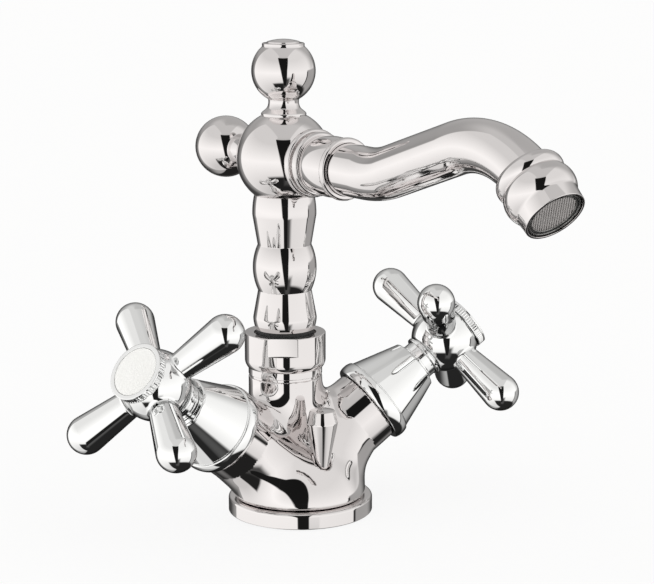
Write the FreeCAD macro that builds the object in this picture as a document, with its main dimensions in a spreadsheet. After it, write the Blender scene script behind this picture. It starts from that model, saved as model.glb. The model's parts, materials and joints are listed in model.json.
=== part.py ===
"""Two-handle bidet mixer tap with a turned swivel column, as a FreeCAD document.

Millimetres.  Z is up, the base stands on Z = 0 round the origin, the spout points to -Y
(towards the user), the hot valve is on -X and the cold valve on +X.
"""
import math
import os

import FreeCAD
import Part
import Sketcher

from FreeCAD import Placement, Rotation, Vector

# Driving sizes, in millimetres and degrees.  Each goes into one aliased cell of the sheet.
SIZES = {
    # Base ring and foot
    "base_radius": 25.0,
    "base_height": 5.6,
    "base_edge": 1.1,
    "base_lift": 0.2,
    "base_wall": 6.1,
    "base_ledge": 4.1,
    "gasket_inset": 1.6,
    "gasket_width": 3.0,
    "gasket_height": 1.7,
    "foot_dome_height": 19.5,
    "foot_dome_radius": 12.0,
    # Cast body
    "column_setback": 9.0,
    "valve_height": 9.7,
    "valve_rise_angle": 35.8,
    "valve_sweep_angle": 12.7,
    "arm_reach": 38.5,
    "arm_radius": 13.4,
    "arm_root_reach": 29.0,
    "arm_root_radius": 13.7,
    "shoulder_offset": 12.5,
    "shoulder_forward": 1.0,
    "shoulder_height": 14.6,
    "shoulder_depth_radius": 16.6,
    "shoulder_rise_radius": 14.0,
    "saddle_forward": 0.6,
    "saddle_height": 8.4,
    "saddle_depth_radius": 18.6,
    "saddle_rise_radius": 15.4,
    "neck_radius": 12.8,
    "neck_top_height": 56.0,
    "neck_groove_depth": 0.4,
    "neck_groove_width": 0.8,
    "neck_groove_drop": 2.4,
    # Waterways in the body
    "spigot_bore_radius": 8.3,
    "spigot_bore_depth": 17.0,
    "mixing_radius": 5.5,
    "mixing_depth": 9.0,
    "inlet_wall": 2.4,
    "inlet_setback": 3.0,
    "inlet_radius": 4.5,
    "inlet_depth": 13.0,
    "passage_radius": 2.6,
    "passage_lap": 1.0,
    "outlet_rise": 10.5,
    "stud_radius": 3.4,
    "stud_depth": 14.0,
    "stud_wall": 2.5,
    "cut_overrun": 5.0,
    # Valve headwork, along the valve axis
    "valve_bore_radius": 9.5,
    "valve_bore_depth": 19.5,
    "thread_clearance": 0.1,
    "seat_seal_height": 2.0,
    "seat_seal_inner_radius": 6.9,
    "disc_radius": 8.0,
    "disc_thickness": 3.0,
    "disc_clearance": 0.1,
    "disc_port_radius": 2.2,
    "disc_port_offset": 4.6,
    "tang_width": 3.0,
    "tang_length": 9.0,
    "tang_depth": 1.5,
    "tang_clearance": 0.1,
    "spindle_flange_radius": 7.0,
    "spindle_flange_height": 2.0,
    "spindle_radius": 4.0,
    "spindle_clearance": 0.08,
    "spindle_seal_radius": 0.9,
    "spindle_seal_drop": 8.0,
    "bonnet_washer_height": 1.0,
    "bonnet_hex_width": 22.0,
    "bonnet_hex_height": 4.0,
    "bonnet_stem_radius": 6.5,
    "clip_radius": 5.4,
    "clip_height": 0.8,
    "clip_groove_depth": 0.5,
    # Bell shroud
    "bell_height": 22.5,
    "bell_bead_radius": 15.8,
    "bell_bead_height": 5.0,
    "bell_foot_radius": 14.9,
    "bell_top_radius": 9.5,
    "bell_top_edge": 1.0,
    "bell_wall": 1.5,
    "bell_web": 2.5,
    "bell_flat_length": 8.5,
    "bell_flat_depth": 0.55,
    # Cross handle
    "handle_gap": 0.6,
    "collar_radius": 6.3,
    "collar_height": 3.2,
    "hub_ring_radius": 7.9,
    "hub_ring_height": 1.2,
    "hub_ring_groove": 0.5,
    "hub_rise": 9.0,
    "hub_radius": 11.8,
    "hub_front": 7.5,
    "hub_front_radius": 9.7,
    "arm_tip_reach": 29.4,
    "arm_tip_radius": 6.6,
    "arm_hub_radius": 4.7,
    "arm_hub_reach": 9.5,
    "handle_phase": 42.0,
    "square_width": 5.6,
    "square_length": 10.5,
    "square_clearance": 0.1,
    "screw_radius": 2.0,
    "screw_length": 8.0,
    "screw_head_radius": 3.6,
    "screw_head_height": 2.4,
    "screw_socket_width": 2.5,
    "screw_seat": 1.5,
    "index_ring_radius": 10.0,
    "index_ring_height": 3.1,
    "index_ring_edge": 0.5,
    "index_spigot_radius": 8.0,
    "index_spigot_length": 2.2,
    "index_spigot_wall": 1.4,
    "index_fit": 0.05,
    "index_disc_radius": 8.5,
    "index_disc_height": 1.5,
    "index_disc_crown": 0.35,
    # Swivel joint
    "nut_radius": 14.05,
    "nut_height": 12.2,
    "nut_lip": 3.4,
    "nut_lip_radius": 10.7,
    "nut_lower_round": 3.0,
    "nut_edge": 0.4,
    "nut_flat_depth": 1.0,
    "nut_flat_height": 6.3,
    "nut_flat_phase": 53.0,
    "slide_ring_height": 2.2,
    "slide_ring_play": 0.1,
    "spigot_clearance": 0.08,
    "spigot_groove_depth": 1.1,
    "seal_radius": 1.0,
    "seal_spacing": 5.0,
    "seal_clearance": 0.05,
    # Turned column
    "column_bore_radius": 5.0,
    "collar_bore_radius": 5.6,
    "column_foot_gap": 1.1,
    "column_stem_radius": 9.6,
    "column_foot_radius": 10.15,
    "column_bead_radius": 11.0,
    "column_neck_radius": 9.25,
    "column_foot_height": 4.2,
    "column_cone_height": 9.5,
    "column_barrel_height": 15.9,
    "column_cone_two_height": 10.4,
    "column_top_height": 6.9,
    "column_top_radius": 10.3,
    "column_spigot_length": 4.0,
    # Ball and its turned knobs
    "ball_radius": 16.3,
    "knob_flange_radius": 7.7,
    "knob_flange_height": 2.4,
    "knob_neck_radius": 5.3,
    "knob_ball_radius": 10.9,
    "knob_stud_radius": 3.0,
    "knob_stud_length": 6.0,
    "finial_neck_height": 3.2,
    "finial_ring_radius": 7.3,
    "finial_ring_height": 1.1,
    "finial_cap_radius": 5.45,
    "finial_cap_height": 1.0,
    "rear_neck_height": 11.0,
    # Spout collar, tube and nozzle
    "collar_boss_radius": 8.8,
    "collar_boss_length": 3.1,
    "collar_ring_radius": 11.6,
    "collar_ring_width": 2.4,
    "collar_step_radius": 10.8,
    "collar_step_width": 2.6,
    "collar_groove": 0.7,
    "collar_barrel_radius": 9.55,
    "collar_barrel_bulge": 0.55,
    "collar_barrel_length": 11.9,
    "collar_bead_radius": 10.4,
    "collar_bead_width": 2.3,
    "collar_spigot_length": 4.0,
    "tube_root_radius": 8.7,
    "tube_end_radius": 8.1,
    "tube_wall": 1.2,
    "tube_fit": 0.05,
    "tube_socket_depth": 7.0,
    "tube_level_length": 48.1,
    "tube_rise_angle": 18.4,
    "tube_rise_radius": 45.0,
    "tube_rise_length": 33.0,
    "tube_crest_radius": 38.0,
    "tube_drop_angle": 40.6,
    "nozzle_back": 6.0,
    "nozzle_back_radius": 9.3,
    "nozzle_ring_radius": 10.7,
    "nozzle_ring_width": 4.9,
    "nozzle_waist_radius": 10.0,
    "nozzle_bead_radius": 11.2,
    "nozzle_bead_width": 8.0,
    "nozzle_throat_radius": 9.9,
    "nozzle_front": 11.6,
    "nozzle_mouth_radius": 9.6,
    "nozzle_rim": 0.7,
    "aerator_depth": 6.5,
    "aerator_wall": 1.2,
    "aerator_recess": 0.4,
    "aerator_screen_height": 0.8,
    "aerator_screen_recess": 0.7,
    "aerator_gap": 0.05,
    "screen_slot": 0.9,
    "screen_pitch": 1.5,
    "screen_rim": 0.8,
    "flow_core_radius": 1.6,
    "aerator_washer_height": 1.4,
    "aerator_washer_width": 2.0,
    "flow_core_height": 3.2,
    # Pop-up waste lift
    "popup_wall": 2.4,
    "popup_rod_radius": 1.6,
    "popup_guide_radius": 2.9,
    "popup_guide_depth": 9.0,
    "popup_seat_height": 16.6,
    "popup_clearance": 0.06,
    "popup_gap": 0.4,
    "popup_recess_radius": 3.7,
    "popup_foot_radius": 2.4,
    "popup_cone_height": 16.2,
    "popup_wide_radius": 5.4,
    "popup_bevel_height": 3.6,
    "popup_top_radius": 4.2,
    "popup_crown": 0.5,
    "popup_rod_end": 1.0,
}

AXIS_X = Vector(1, 0, 0)
AXIS_Z = Vector(0, 0, 1)


class Size:
    """A length that carries its value and the sheet formula that it comes from."""

    def __init__(self, value, formula):
        self.value = float(value)
        self.formula = formula

    @staticmethod
    def of(other):
        """Return other as a Size, with a plain number as its own formula."""
        if isinstance(other, Size):
            return other
        return Size(other, f"{other:.6f}")

    def _join(self, other, sign, value):
        return Size(value, f"({self.formula} {sign} {Size.of(other).formula})")

    def __add__(self, other):
        return self._join(other, "+", self.value + Size.of(other).value)

    def __radd__(self, other):
        return Size.of(other) + self

    def __sub__(self, other):
        return self._join(other, "-", self.value - Size.of(other).value)

    def __rsub__(self, other):
        return Size.of(other) - self

    def __mul__(self, other):
        return self._join(other, "*", self.value * Size.of(other).value)

    def __rmul__(self, other):
        return Size.of(other) * self

    def __truediv__(self, other):
        return self._join(other, "/", self.value / Size.of(other).value)

    def __rtruediv__(self, other):
        return Size.of(other) / self

    def root(self):
        """Return the square root as a Size."""
        return Size(math.sqrt(self.value), f"sqrt({self.formula})")


class Sizes:
    """The driving sizes as attributes, each bound to its cell of the sheet."""

    def __init__(self, document):
        sheet = document.addObject("Spreadsheet::Sheet", "Sizes")
        for row, (name, value) in enumerate(SIZES.items(), start=1):
            sheet.set(f"A{row}", name)
            sheet.set(f"B{row}", str(value))
            sheet.setAlias(f"B{row}", name)
            setattr(self, name, Size(value, f"Sizes.{name}"))
        document.recompute()


def cap(ball, ring):
    """Height of a ball's centre above the flat where its section has the ring's radius."""
    return (ball * ball - ring * ring).root()


def bulge(start, end, crown):
    """Radius of the arc over a chord between two (radius, height) corners with a crown's rise."""
    across = start[0] - end[0]
    along = start[1] - end[1]
    return (across * across + along * along) / (8 * crown) + crown / 2


class Workshop:
    """Makes the features of one document and keeps the finished pieces by name."""

    def __init__(self, document):
        self.document = document
        self.pieces = {}

    def body(self, name):
        """Return a new PartDesign body."""
        return self.document.addObject("PartDesign::Body", name)

    def keep(self, label, item, placement=None):
        """Give a finished piece its label and its place."""
        if placement is not None:
            item.Placement = placement
        item.Label = label
        self.pieces[label] = item
        return item

    @staticmethod
    def plane(body, role):
        """Return one of the body's own origin planes."""
        return next(item for item in body.Origin.OriginFeatures if item.Role == role)

    def sketch(self, body, name, role, offset=None):
        """Return an empty sketch on an origin plane of the body."""
        sketch = body.newObject("Sketcher::SketchObject", name)
        sketch.AttachmentSupport = [(self.plane(body, role), "")]
        sketch.MapMode = "FlatFace"
        if offset is not None:
            sketch.AttachmentOffset = Placement(Vector(0, 0, 0), Rotation())
            sketch.setExpression("AttachmentOffset.Base.z", offset.formula)
        return sketch

    @staticmethod
    def pin_point(constraints, geometry, position, corner):
        """Tie one point of a sketch to its two sizes."""
        for kind, axis, size in (("DistanceX", -2, corner[0]), ("DistanceY", -1, corner[1])):
            size = Size.of(size)
            if abs(size.value) < 1e-9:
                constraints.append((Sketcher.Constraint("PointOnObject", geometry, position, axis), None))
            else:
                datum = Sketcher.Constraint(kind, -1, 1, geometry, position, size.value)
                constraints.append((datum, size.formula))

    def outline(self, sketch, corners):
        """Draw a closed outline of corners (across, up) or (across, up, radius of the arc to it).

        A positive radius turns the arc to the left of the way along the outline.
        """
        corners = [tuple(Size.of(part) for part in corner) for corner in corners]
        constraints = []
        first_point = []
        last_point = []
        for index, corner in enumerate(corners):
            before = corners[index - 1]
            start = Vector(before[0].value, before[1].value, 0)
            end = Vector(corner[0].value, corner[1].value, 0)
            if len(corner) == 2:
                geometry = sketch.addGeometry(Part.LineSegment(start, end), False)
                first, last = 1, 2
            else:
                radius = corner[2].value
                chord = end - start
                left = Vector(-chord.y, chord.x, 0).normalize()
                drop = math.sqrt(max(radius * radius - chord.Length ** 2 / 4, 0.0))
                centre = (start + end) / 2 + left * math.copysign(drop, radius)
                begin, finish = (start, end) if radius > 0 else (end, start)
                turn_in = math.atan2(begin.y - centre.y, begin.x - centre.x)
                turn_out = math.atan2(finish.y - centre.y, finish.x - centre.x)
                circle = Part.Circle(centre, AXIS_Z, abs(radius))
                geometry = sketch.addGeometry(Part.ArcOfCircle(circle, turn_in, turn_out), False)
                first, last = (1, 2) if radius > 0 else (2, 1)
                sign = "" if radius > 0 else "-"
                datum = Sketcher.Constraint("Radius", geometry, abs(radius))
                constraints.append((datum, f"{sign}({corner[2].formula})"))
            first_point.append((geometry, first))
            last_point.append((geometry, last))
            self.pin_point(constraints, geometry, last, corner)
        for index in range(len(corners)):
            link = Sketcher.Constraint("Coincident", *last_point[index - 1], *first_point[index])
            constraints.append((link, None))
        self.constrain(sketch, constraints)

    @staticmethod
    def constrain(sketch, constraints):
        """Add the constraints and bind those that have a formula."""
        start = sketch.ConstraintCount
        sketch.addConstraint([constraint for constraint, _ in constraints])
        for index, (_, formula) in enumerate(constraints, start=start):
            if formula is not None:
                sketch.setExpression(f"Constraints[{index}]", formula)

    def round_hole(self, sketch, across, up, radius):
        """Draw a circle in a sketch."""
        across, up, radius = Size.of(across), Size.of(up), Size.of(radius)
        circle = Part.Circle(Vector(across.value, up.value, 0), AXIS_Z, radius.value)
        geometry = sketch.addGeometry(circle, False)
        constraints = [(Sketcher.Constraint("Radius", geometry, radius.value), radius.formula)]
        self.pin_point(constraints, geometry, 3, (across, up))
        self.constrain(sketch, constraints)

    def turned(self, name, corners):
        """Return a body turned round its own Z axis from an outline of (radius, height) corners."""
        body = self.body(name)
        sketch = self.sketch(body, f"{name}Outline", "XZ_Plane")
        self.outline(sketch, corners)
        turn = body.newObject("PartDesign::Revolution", f"{name}Turn")
        turn.Profile = sketch
        turn.ReferenceAxis = (sketch, ["V_Axis"])
        turn.Angle = 360
        self.document.recompute()
        return body

    def pocket(self, body, sketch, name, depth, upward=False):
        """Cut a sketch into its body to a depth, down from its plane or up from it."""
        cut = body.newObject("PartDesign::Pocket", name)
        cut.Profile = sketch
        cut.Type = 0
        cut.setExpression("Length", depth.formula)
        cut.Reversed = upward
        self.document.recompute()
        return cut

    def pad(self, body, sketch, name, height, downward=False):
        """Raise a sketch by a height, up from its plane or down from it."""
        grow = body.newObject("PartDesign::Pad", name)
        grow.Profile = sketch
        grow.Type = 0
        grow.setExpression("Length", height.formula)
        grow.Reversed = downward
        self.document.recompute()
        return grow

    def polar(self, body, feature, count):
        """Repeat a feature round the body's Z axis."""
        pattern = body.newObject("PartDesign::PolarPattern", f"{feature.Name}Round")
        pattern.Originals = [feature]
        axis = next(item for item in body.Origin.OriginFeatures if item.Role == "Z_Axis")
        pattern.Axis = (axis, [""])
        pattern.Angle = 360
        pattern.Occurrences = count
        body.Tip = pattern
        self.document.recompute()
        return pattern

    def cylinder(self, name, radius, height, placement):
        """Return a Part cylinder bound to the sheet."""
        item = self.document.addObject("Part::Cylinder", name)
        item.setExpression("Radius", Size.of(radius).formula)
        item.setExpression("Height", Size.of(height).formula)
        item.Placement = placement
        return item

    def ring(self, name, radius, section, placement):
        """Return a Part torus bound to the sheet."""
        item = self.document.addObject("Part::Torus", name)
        item.setExpression("Radius1", radius.formula)
        item.setExpression("Radius2", section.formula)
        item.Placement = placement
        return item

    def fuse(self, name, items):
        """Return the union of several items."""
        union = self.document.addObject("Part::MultiFuse", name)
        union.Shapes = items
        self.document.recompute()
        return union

    def cut(self, name, base, tools):
        """Return base with the tools cut away."""
        tool = tools[0] if len(tools) == 1 else self.fuse(f"{name}Tools", tools)
        difference = self.document.addObject("Part::Cut", name)
        difference.Base = base
        difference.Tool = tool
        self.document.recompute()
        return difference


def turned_place(origin, direction, spin=0.0):
    """Return the placement that lays local Z along a direction, turned round it by an angle."""
    across = AXIS_Z.cross(direction)
    across = across.normalize() if across.Length > 1e-6 else Vector(1, 0, 0)
    up = direction.cross(across)
    frame = Rotation(across, up, direction, "ZXY")
    return Placement(origin, frame.multiply(Rotation(AXIS_Z, spin)))


class Layout:
    """Places that several pieces share, worked out once from the sizes."""

    def __init__(self, d):
        self.base_bore = d.base_radius - d.base_wall
        self.foot_radius = d.base_radius - d.base_ledge
        self.gasket_outer = d.base_radius - d.gasket_inset
        self.gasket_inner = self.gasket_outer - d.gasket_width
        # The holes in the foot keep their walls to the base ring's bore
        self.inlet_offset = self.base_bore - d.inlet_radius - d.inlet_wall
        self.stud_setback = self.base_bore - d.stud_radius - d.stud_wall
        self.popup_forward = self.base_bore - d.popup_guide_radius - d.popup_clearance - d.popup_wall
        self.valve_origin = Vector(0, d.column_setback.value, d.valve_height.value)
        self.column = Placement(Vector(0, d.column_setback.value, 0), Rotation())
        self.nut_top = d.neck_top_height + d.slide_ring_height + d.slide_ring_play + d.nut_lip
        self.column_foot = self.nut_top + d.column_foot_gap
        self.column_top = (self.column_foot + d.column_foot_height + d.column_cone_height
                           + d.column_barrel_height + d.column_cone_two_height + d.column_top_height)
        self.spout_height = self.column_top + cap(d.ball_radius, d.column_top_radius)
        self.ball_centre = Vector(0, d.column_setback.value, self.spout_height.value)
        self.forward = turned_place(self.ball_centre, Vector(0, -1, 0))
        self.rearward = turned_place(self.ball_centre, Vector(0, 1, 0))
        self.upward = Placement(self.ball_centre, Rotation())
        # Distances along the spout axis from the centre of the ball
        self.collar_seat = cap(d.ball_radius, d.collar_boss_radius)
        self.collar_end = (self.collar_seat + d.collar_boss_length + d.collar_ring_width
                           + d.collar_groove + d.collar_step_width + d.collar_groove
                           + d.collar_barrel_length + d.collar_bead_width)
        # Heights along a valve axis from the valve origin
        self.arm_face = d.arm_reach
        self.seat = d.arm_reach - d.valve_bore_depth
        self.outlet = self.seat + d.outlet_rise
        self.disc_floor = self.seat + d.seat_seal_height
        self.moving_floor = self.disc_floor + d.disc_thickness + d.disc_clearance
        self.spindle_floor = self.moving_floor + d.disc_thickness + d.disc_clearance
        self.bell_top = d.arm_reach + d.bell_height
        self.stem_top = self.bell_top - d.clip_height
        self.handle_foot = self.bell_top + d.handle_gap
        self.hub_foot = self.handle_foot + d.collar_height
        self.hub_base = self.hub_foot + d.hub_ring_height + d.hub_ring_groove
        self.arm_plane = self.hub_base + d.hub_rise
        self.hub_front = self.arm_plane + d.hub_front
        self.square_top = self.hub_foot + d.square_length
        self.screw_seat = self.square_top + d.square_clearance + d.screw_seat
        # Spout tube: the corners of its centre line in the plane X = 0, as (reach, height)
        rise = math.radians(d.tube_rise_angle.value)
        drop = math.radians(d.tube_drop_angle.value)
        level = (d.tube_level_length.value, 0.0)
        bend = d.tube_rise_radius.value
        crest = d.tube_crest_radius.value
        slope = (level[0] + bend * math.sin(rise), bend * (1 - math.cos(rise)))
        shoulder = (slope[0] + d.tube_rise_length.value * math.cos(rise),
                    slope[1] + d.tube_rise_length.value * math.sin(rise))
        top = (shoulder[0] + crest * math.sin(rise), shoulder[1] + crest * (1 - math.cos(rise)))
        self.tube_bend = (level, slope, shoulder)
        self.tube_top = top
        self.tube_end = (top[0] + crest * math.sin(drop), top[1] - crest * (1 - math.cos(drop)))
        self.nozzle_axis = Vector(0, -math.cos(drop), -math.sin(drop))
        self.nozzle = turned_place(self.spout_point(self.tube_end), self.nozzle_axis)

    def spout_point(self, corner):
        """Return the point of the spout's plane at a reach from the column and a height."""
        return self.ball_centre + Vector(0, -corner[0], corner[1])

    def valve_axis(self, d, side):
        """Return the direction of one valve's axis, side -1 for hot and 1 for cold."""
        rise = math.radians(d.valve_rise_angle.value)
        sweep = math.radians(d.valve_sweep_angle.value)
        return Vector(side * math.cos(rise) * math.cos(sweep), -math.cos(rise) * math.sin(sweep),
                      math.sin(rise))

    def valve(self, d, side, spin=0.0):
        """Return the placement of one valve, its local Z along the valve axis."""
        return turned_place(self.valve_origin, self.valve_axis(d, side), spin)


def make_base(shop, d, at):
    """Base ring with its soft top edge, and the sealing gasket in its underside."""
    inner, outer = at.base_bore, d.base_radius
    top = d.base_height
    floor = d.base_lift
    roof = d.gasket_height
    ring = shop.turned("BaseRing", [
        (inner, floor),
        (at.gasket_inner, floor),
        (at.gasket_inner, roof),
        (at.gasket_outer, roof),
        (at.gasket_outer, floor),
        (outer, floor),
        (outer, top - d.base_edge),
        (outer - d.base_edge, top, d.base_edge),
        (inner, top),
    ])
    shop.keep("base_ring", ring)
    gasket = shop.turned("BaseGasket", [
        (at.gasket_inner + d.index_fit, 0),
        (at.gasket_outer - d.index_fit, 0),
        (at.gasket_outer - d.index_fit, roof),
        (at.gasket_inner + d.index_fit, roof),
    ])
    shop.keep("base_gasket", gasket)


def oval_section(shop, name, centre, normal, depth_radius, rise_radius):
    """Return an oval section of the cast body, its long axis lying fore and aft."""
    normal = Vector(normal).normalize()
    ahead = Vector(0, -1, 0)
    ahead = (ahead - normal * ahead.dot(normal)).normalize()
    oval = shop.document.addObject("Part::Ellipse", name)
    oval.setExpression("MajorRadius", depth_radius.formula)
    oval.setExpression("MinorRadius", rise_radius.formula)
    oval.Placement = Placement(centre, Rotation(ahead, normal.cross(ahead), normal, "ZXY"))
    return oval


def make_body_blank(shop, d, at):
    """Cast blank: a domed foot, two arms lofted through a saddle, and the neck."""
    foot = shop.turned("BodyFoot", [
        (0, 0),
        (at.base_bore - d.thread_clearance, 0),
        (at.base_bore - d.thread_clearance, d.base_height),
        (at.foot_radius, d.base_height),
        (at.foot_radius, d.foot_dome_height - d.foot_dome_radius),
        (at.foot_radius - d.foot_dome_radius, d.foot_dome_height, d.foot_dome_radius),
        (0, d.foot_dome_height),
    ])
    hot, cold = at.valve_axis(d, -1), at.valve_axis(d, 1)
    sections = []
    for side, axis in ((-1, hot), (1, cold)):
        word = "Hot" if side < 0 else "Cold"
        across = axis * side
        ends = [
            oval_section(shop, f"{word}Face", at.valve_origin + axis * d.arm_reach.value, across,
                         d.arm_radius, d.arm_radius),
            oval_section(shop, f"{word}Root", at.valve_origin + axis * d.arm_root_reach.value, across,
                         d.arm_root_radius, d.arm_root_radius),
            oval_section(shop, f"{word}Shoulder",
                         Vector(side * d.shoulder_offset.value, d.shoulder_forward.value,
                                d.shoulder_height.value),
                         Vector(1, 0.2 * side, 0.45 * side), d.shoulder_depth_radius,
                         d.shoulder_rise_radius),
        ]
        sections.append(ends)
    saddle = oval_section(shop, "Saddle", Vector(0, d.saddle_forward.value, d.saddle_height.value),
                          AXIS_X, d.saddle_depth_radius, d.saddle_rise_radius)
    arms = shop.document.addObject("Part::Loft", "Arms")
    arms.Sections = sections[0] + [saddle] + sections[1][::-1]
    arms.Solid = True
    arms.Ruled = False
    shop.document.recompute()
    keeper = shop.document.addObject("Part::Box", "AboveBase")
    keeper.Length = 4 * d.base_radius.value
    keeper.Width = 4 * d.base_radius.value
    keeper.Height = 4 * d.base_radius.value
    keeper.Placement = Placement(Vector(-2 * d.base_radius.value, -2 * d.base_radius.value,
                                        d.base_height.value), Rotation())
    trimmed = shop.document.addObject("Part::Common", "ArmsAboveBase")
    trimmed.Base = arms
    trimmed.Tool = keeper
    groove = d.neck_radius - d.neck_groove_depth
    lip = at.nut_top - d.nut_height - d.neck_groove_drop
    neck = shop.turned("Neck", [
        (0, d.valve_height),
        (d.neck_radius, d.valve_height),
        (d.neck_radius, lip - d.neck_groove_width),
        (groove, lip - d.neck_groove_width),
        (groove, lip),
        (d.neck_radius, lip),
        (d.neck_radius, d.neck_top_height),
        (0, d.neck_top_height),
    ])
    neck.Placement = at.column
    return shop.fuse("BodyBlank", [foot, trimmed, neck])


def make_mixer_body(shop, d, at):
    """Cast body with its valve bores, waterways and fixings cut in."""
    blank = make_body_blank(shop, d, at)
    upright = Rotation()
    setback = d.column_setback.value
    top = d.neck_top_height
    tools = [
        shop.cylinder("SpigotBore", d.spigot_bore_radius, d.spigot_bore_depth,
                      Placement(Vector(0, setback, (top - d.spigot_bore_depth).value), upright)),
        shop.cylinder("MixingChamber", d.mixing_radius, d.mixing_depth + d.cut_overrun,
                      Placement(Vector(0, setback, (top - d.spigot_bore_depth - d.mixing_depth).value),
                                upright)),
        shop.cylinder("StudHole", d.stud_radius, d.stud_depth,
                      Placement(Vector(0, at.stud_setback.value, 0), upright)),
        shop.cylinder("GuideHole", d.popup_guide_radius + d.popup_clearance,
                      d.popup_seat_height + d.popup_cone_height,
                      Placement(Vector(0, -at.popup_forward.value, 0), upright)),
        shop.cylinder("KnobRecess", d.popup_recess_radius, d.popup_cone_height,
                      Placement(Vector(0, -at.popup_forward.value, d.popup_seat_height.value), upright)),
    ]
    chamber = Vector(0, setback, (top - d.spigot_bore_depth - d.mixing_depth / 2).value)
    for side, word in ((-1, "Hot"), (1, "Cold")):
        axis = at.valve_axis(d, side)
        floor = at.valve_origin + axis * at.seat.value
        foot = Vector(side * at.inlet_offset.value, d.inlet_setback.value, 0)
        start = foot + AXIS_Z * (d.inlet_depth - d.passage_radius - d.passage_lap).value
        passage = floor + axis * d.passage_lap.value - start
        outlet = at.valve_origin + axis * at.outlet.value
        way = chamber - outlet
        tools += [
            shop.cylinder(f"{word}ValveBore", d.valve_bore_radius, d.valve_bore_depth + d.cut_overrun,
                          turned_place(floor, axis)),
            shop.cylinder(f"{word}Inlet", d.inlet_radius, d.inlet_depth, Placement(foot, upright)),
            shop.cylinder(f"{word}Passage", d.passage_radius, passage.Length,
                          turned_place(start, Vector(passage).normalize())),
            shop.cylinder(f"{word}Outlet", d.passage_radius, way.Length,
                          turned_place(outlet, Vector(way).normalize())),
        ]
    body = shop.cut("MixerBody", blank, tools)
    shop.keep("mixer_body", body)


def hexagon(across_flats):
    """Return the corners of a hexagon of a width across its flats."""
    corner = across_flats / math.sqrt(3)
    return [(corner * math.cos(math.radians(60 * step)), corner * math.sin(math.radians(60 * step)))
            for step in range(6)]


def make_valve(shop, d, at, side, word):
    """Quarter-turn ceramic headwork of one side, from the seat seal to the clip."""
    title = word.capitalize()
    place = at.valve(d, side)
    turned = at.valve(d, side, side * d.handle_phase.value)
    skirt = d.valve_bore_radius - d.thread_clearance
    inside = d.disc_radius + d.thread_clearance
    seal = shop.turned(f"{title}SeatSeal", [
        (d.seat_seal_inner_radius, at.seat),
        (skirt, at.seat),
        (skirt, at.disc_floor),
        (d.seat_seal_inner_radius, at.disc_floor),
    ])
    shop.keep(f"{word}_seat_seal", seal, place)

    fixed = shop.turned(f"{title}FixedDisc", [
        (0, at.disc_floor),
        (d.disc_radius, at.disc_floor),
        (d.disc_radius, at.disc_floor + d.disc_thickness),
        (0, at.disc_floor + d.disc_thickness),
    ])
    ports = shop.sketch(fixed, f"{title}Ports", "XY_Plane", at.disc_floor + d.disc_thickness)
    shop.round_hole(ports, d.disc_port_offset, 0, d.disc_port_radius)
    port = shop.pocket(fixed, ports, f"{title}Port", d.disc_thickness)
    shop.polar(fixed, port, 2)
    shop.keep(f"{word}_fixed_disc", fixed, place)

    moving_top = at.moving_floor + d.disc_thickness
    moving = shop.turned(f"{title}MovingDisc", [
        (0, at.moving_floor),
        (d.disc_radius - d.disc_clearance, at.moving_floor),
        (d.disc_radius - d.disc_clearance, moving_top),
        (0, moving_top),
    ])
    slot = shop.sketch(moving, f"{title}Slot", "XY_Plane", moving_top)
    half_width = d.tang_width / 2 + d.tang_clearance
    half_length = d.tang_length / 2 + d.tang_clearance
    shop.outline(slot, [(0 - half_length, 0 - half_width), (half_length, 0 - half_width),
                        (half_length, half_width), (0 - half_length, half_width)])
    shop.pocket(moving, slot, f"{title}SlotCut", d.tang_depth + d.tang_clearance)
    shop.keep(f"{word}_moving_disc", moving, turned)

    spindle = make_spindle(shop, d, at, title)
    shop.keep(f"{word}_spindle", spindle, turned)

    washer = shop.turned(f"{title}BonnetWasher", [
        (d.valve_bore_radius, at.arm_face),
        (d.bonnet_hex_width / 2, at.arm_face),
        (d.bonnet_hex_width / 2, at.arm_face + d.bonnet_washer_height),
        (d.valve_bore_radius, at.arm_face + d.bonnet_washer_height),
    ])
    shop.keep(f"{word}_bonnet_washer", washer, place)

    bore = d.spindle_radius + d.spindle_clearance
    flange = at.arm_face + d.bonnet_washer_height
    ceiling = at.spindle_floor + d.spindle_flange_height + d.disc_clearance
    bonnet = shop.turned(f"{title}Bonnet", [
        (inside, at.disc_floor),
        (skirt, at.disc_floor),
        (skirt, flange),
        (d.bonnet_stem_radius, flange),
        (d.bonnet_stem_radius, at.stem_top),
        (bore, at.stem_top),
        (bore, ceiling),
        (inside, ceiling),
    ])
    nut = shop.sketch(bonnet, f"{title}BonnetHex", "XY_Plane", flange)
    shop.outline(nut, hexagon(d.bonnet_hex_width))
    shop.round_hole(nut, 0, 0, bore)
    shop.pad(bonnet, nut, f"{title}BonnetNut", d.bonnet_hex_height)
    shop.keep(f"{word}_valve_bonnet", bonnet, place)

    seal_place = place.multiply(Placement(Vector(0, 0, (at.stem_top - d.spindle_seal_drop).value),
                                          Rotation()))
    ring = shop.ring(f"{title}SpindleSeal", d.spindle_radius - d.spindle_seal_radius,
                     d.spindle_seal_radius, seal_place)
    shop.document.recompute()
    shop.keep(f"{word}_spindle_seal", ring)

    clip = shop.turned(f"{title}SpindleClip", [
        (d.spindle_radius - d.clip_groove_depth, at.stem_top + d.disc_clearance),
        (d.clip_radius, at.stem_top + d.disc_clearance),
        (d.clip_radius, at.stem_top + d.clip_height),
        (d.spindle_radius - d.clip_groove_depth, at.stem_top + d.clip_height),
    ])
    shop.keep(f"{word}_spindle_clip", clip, place)


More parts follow.
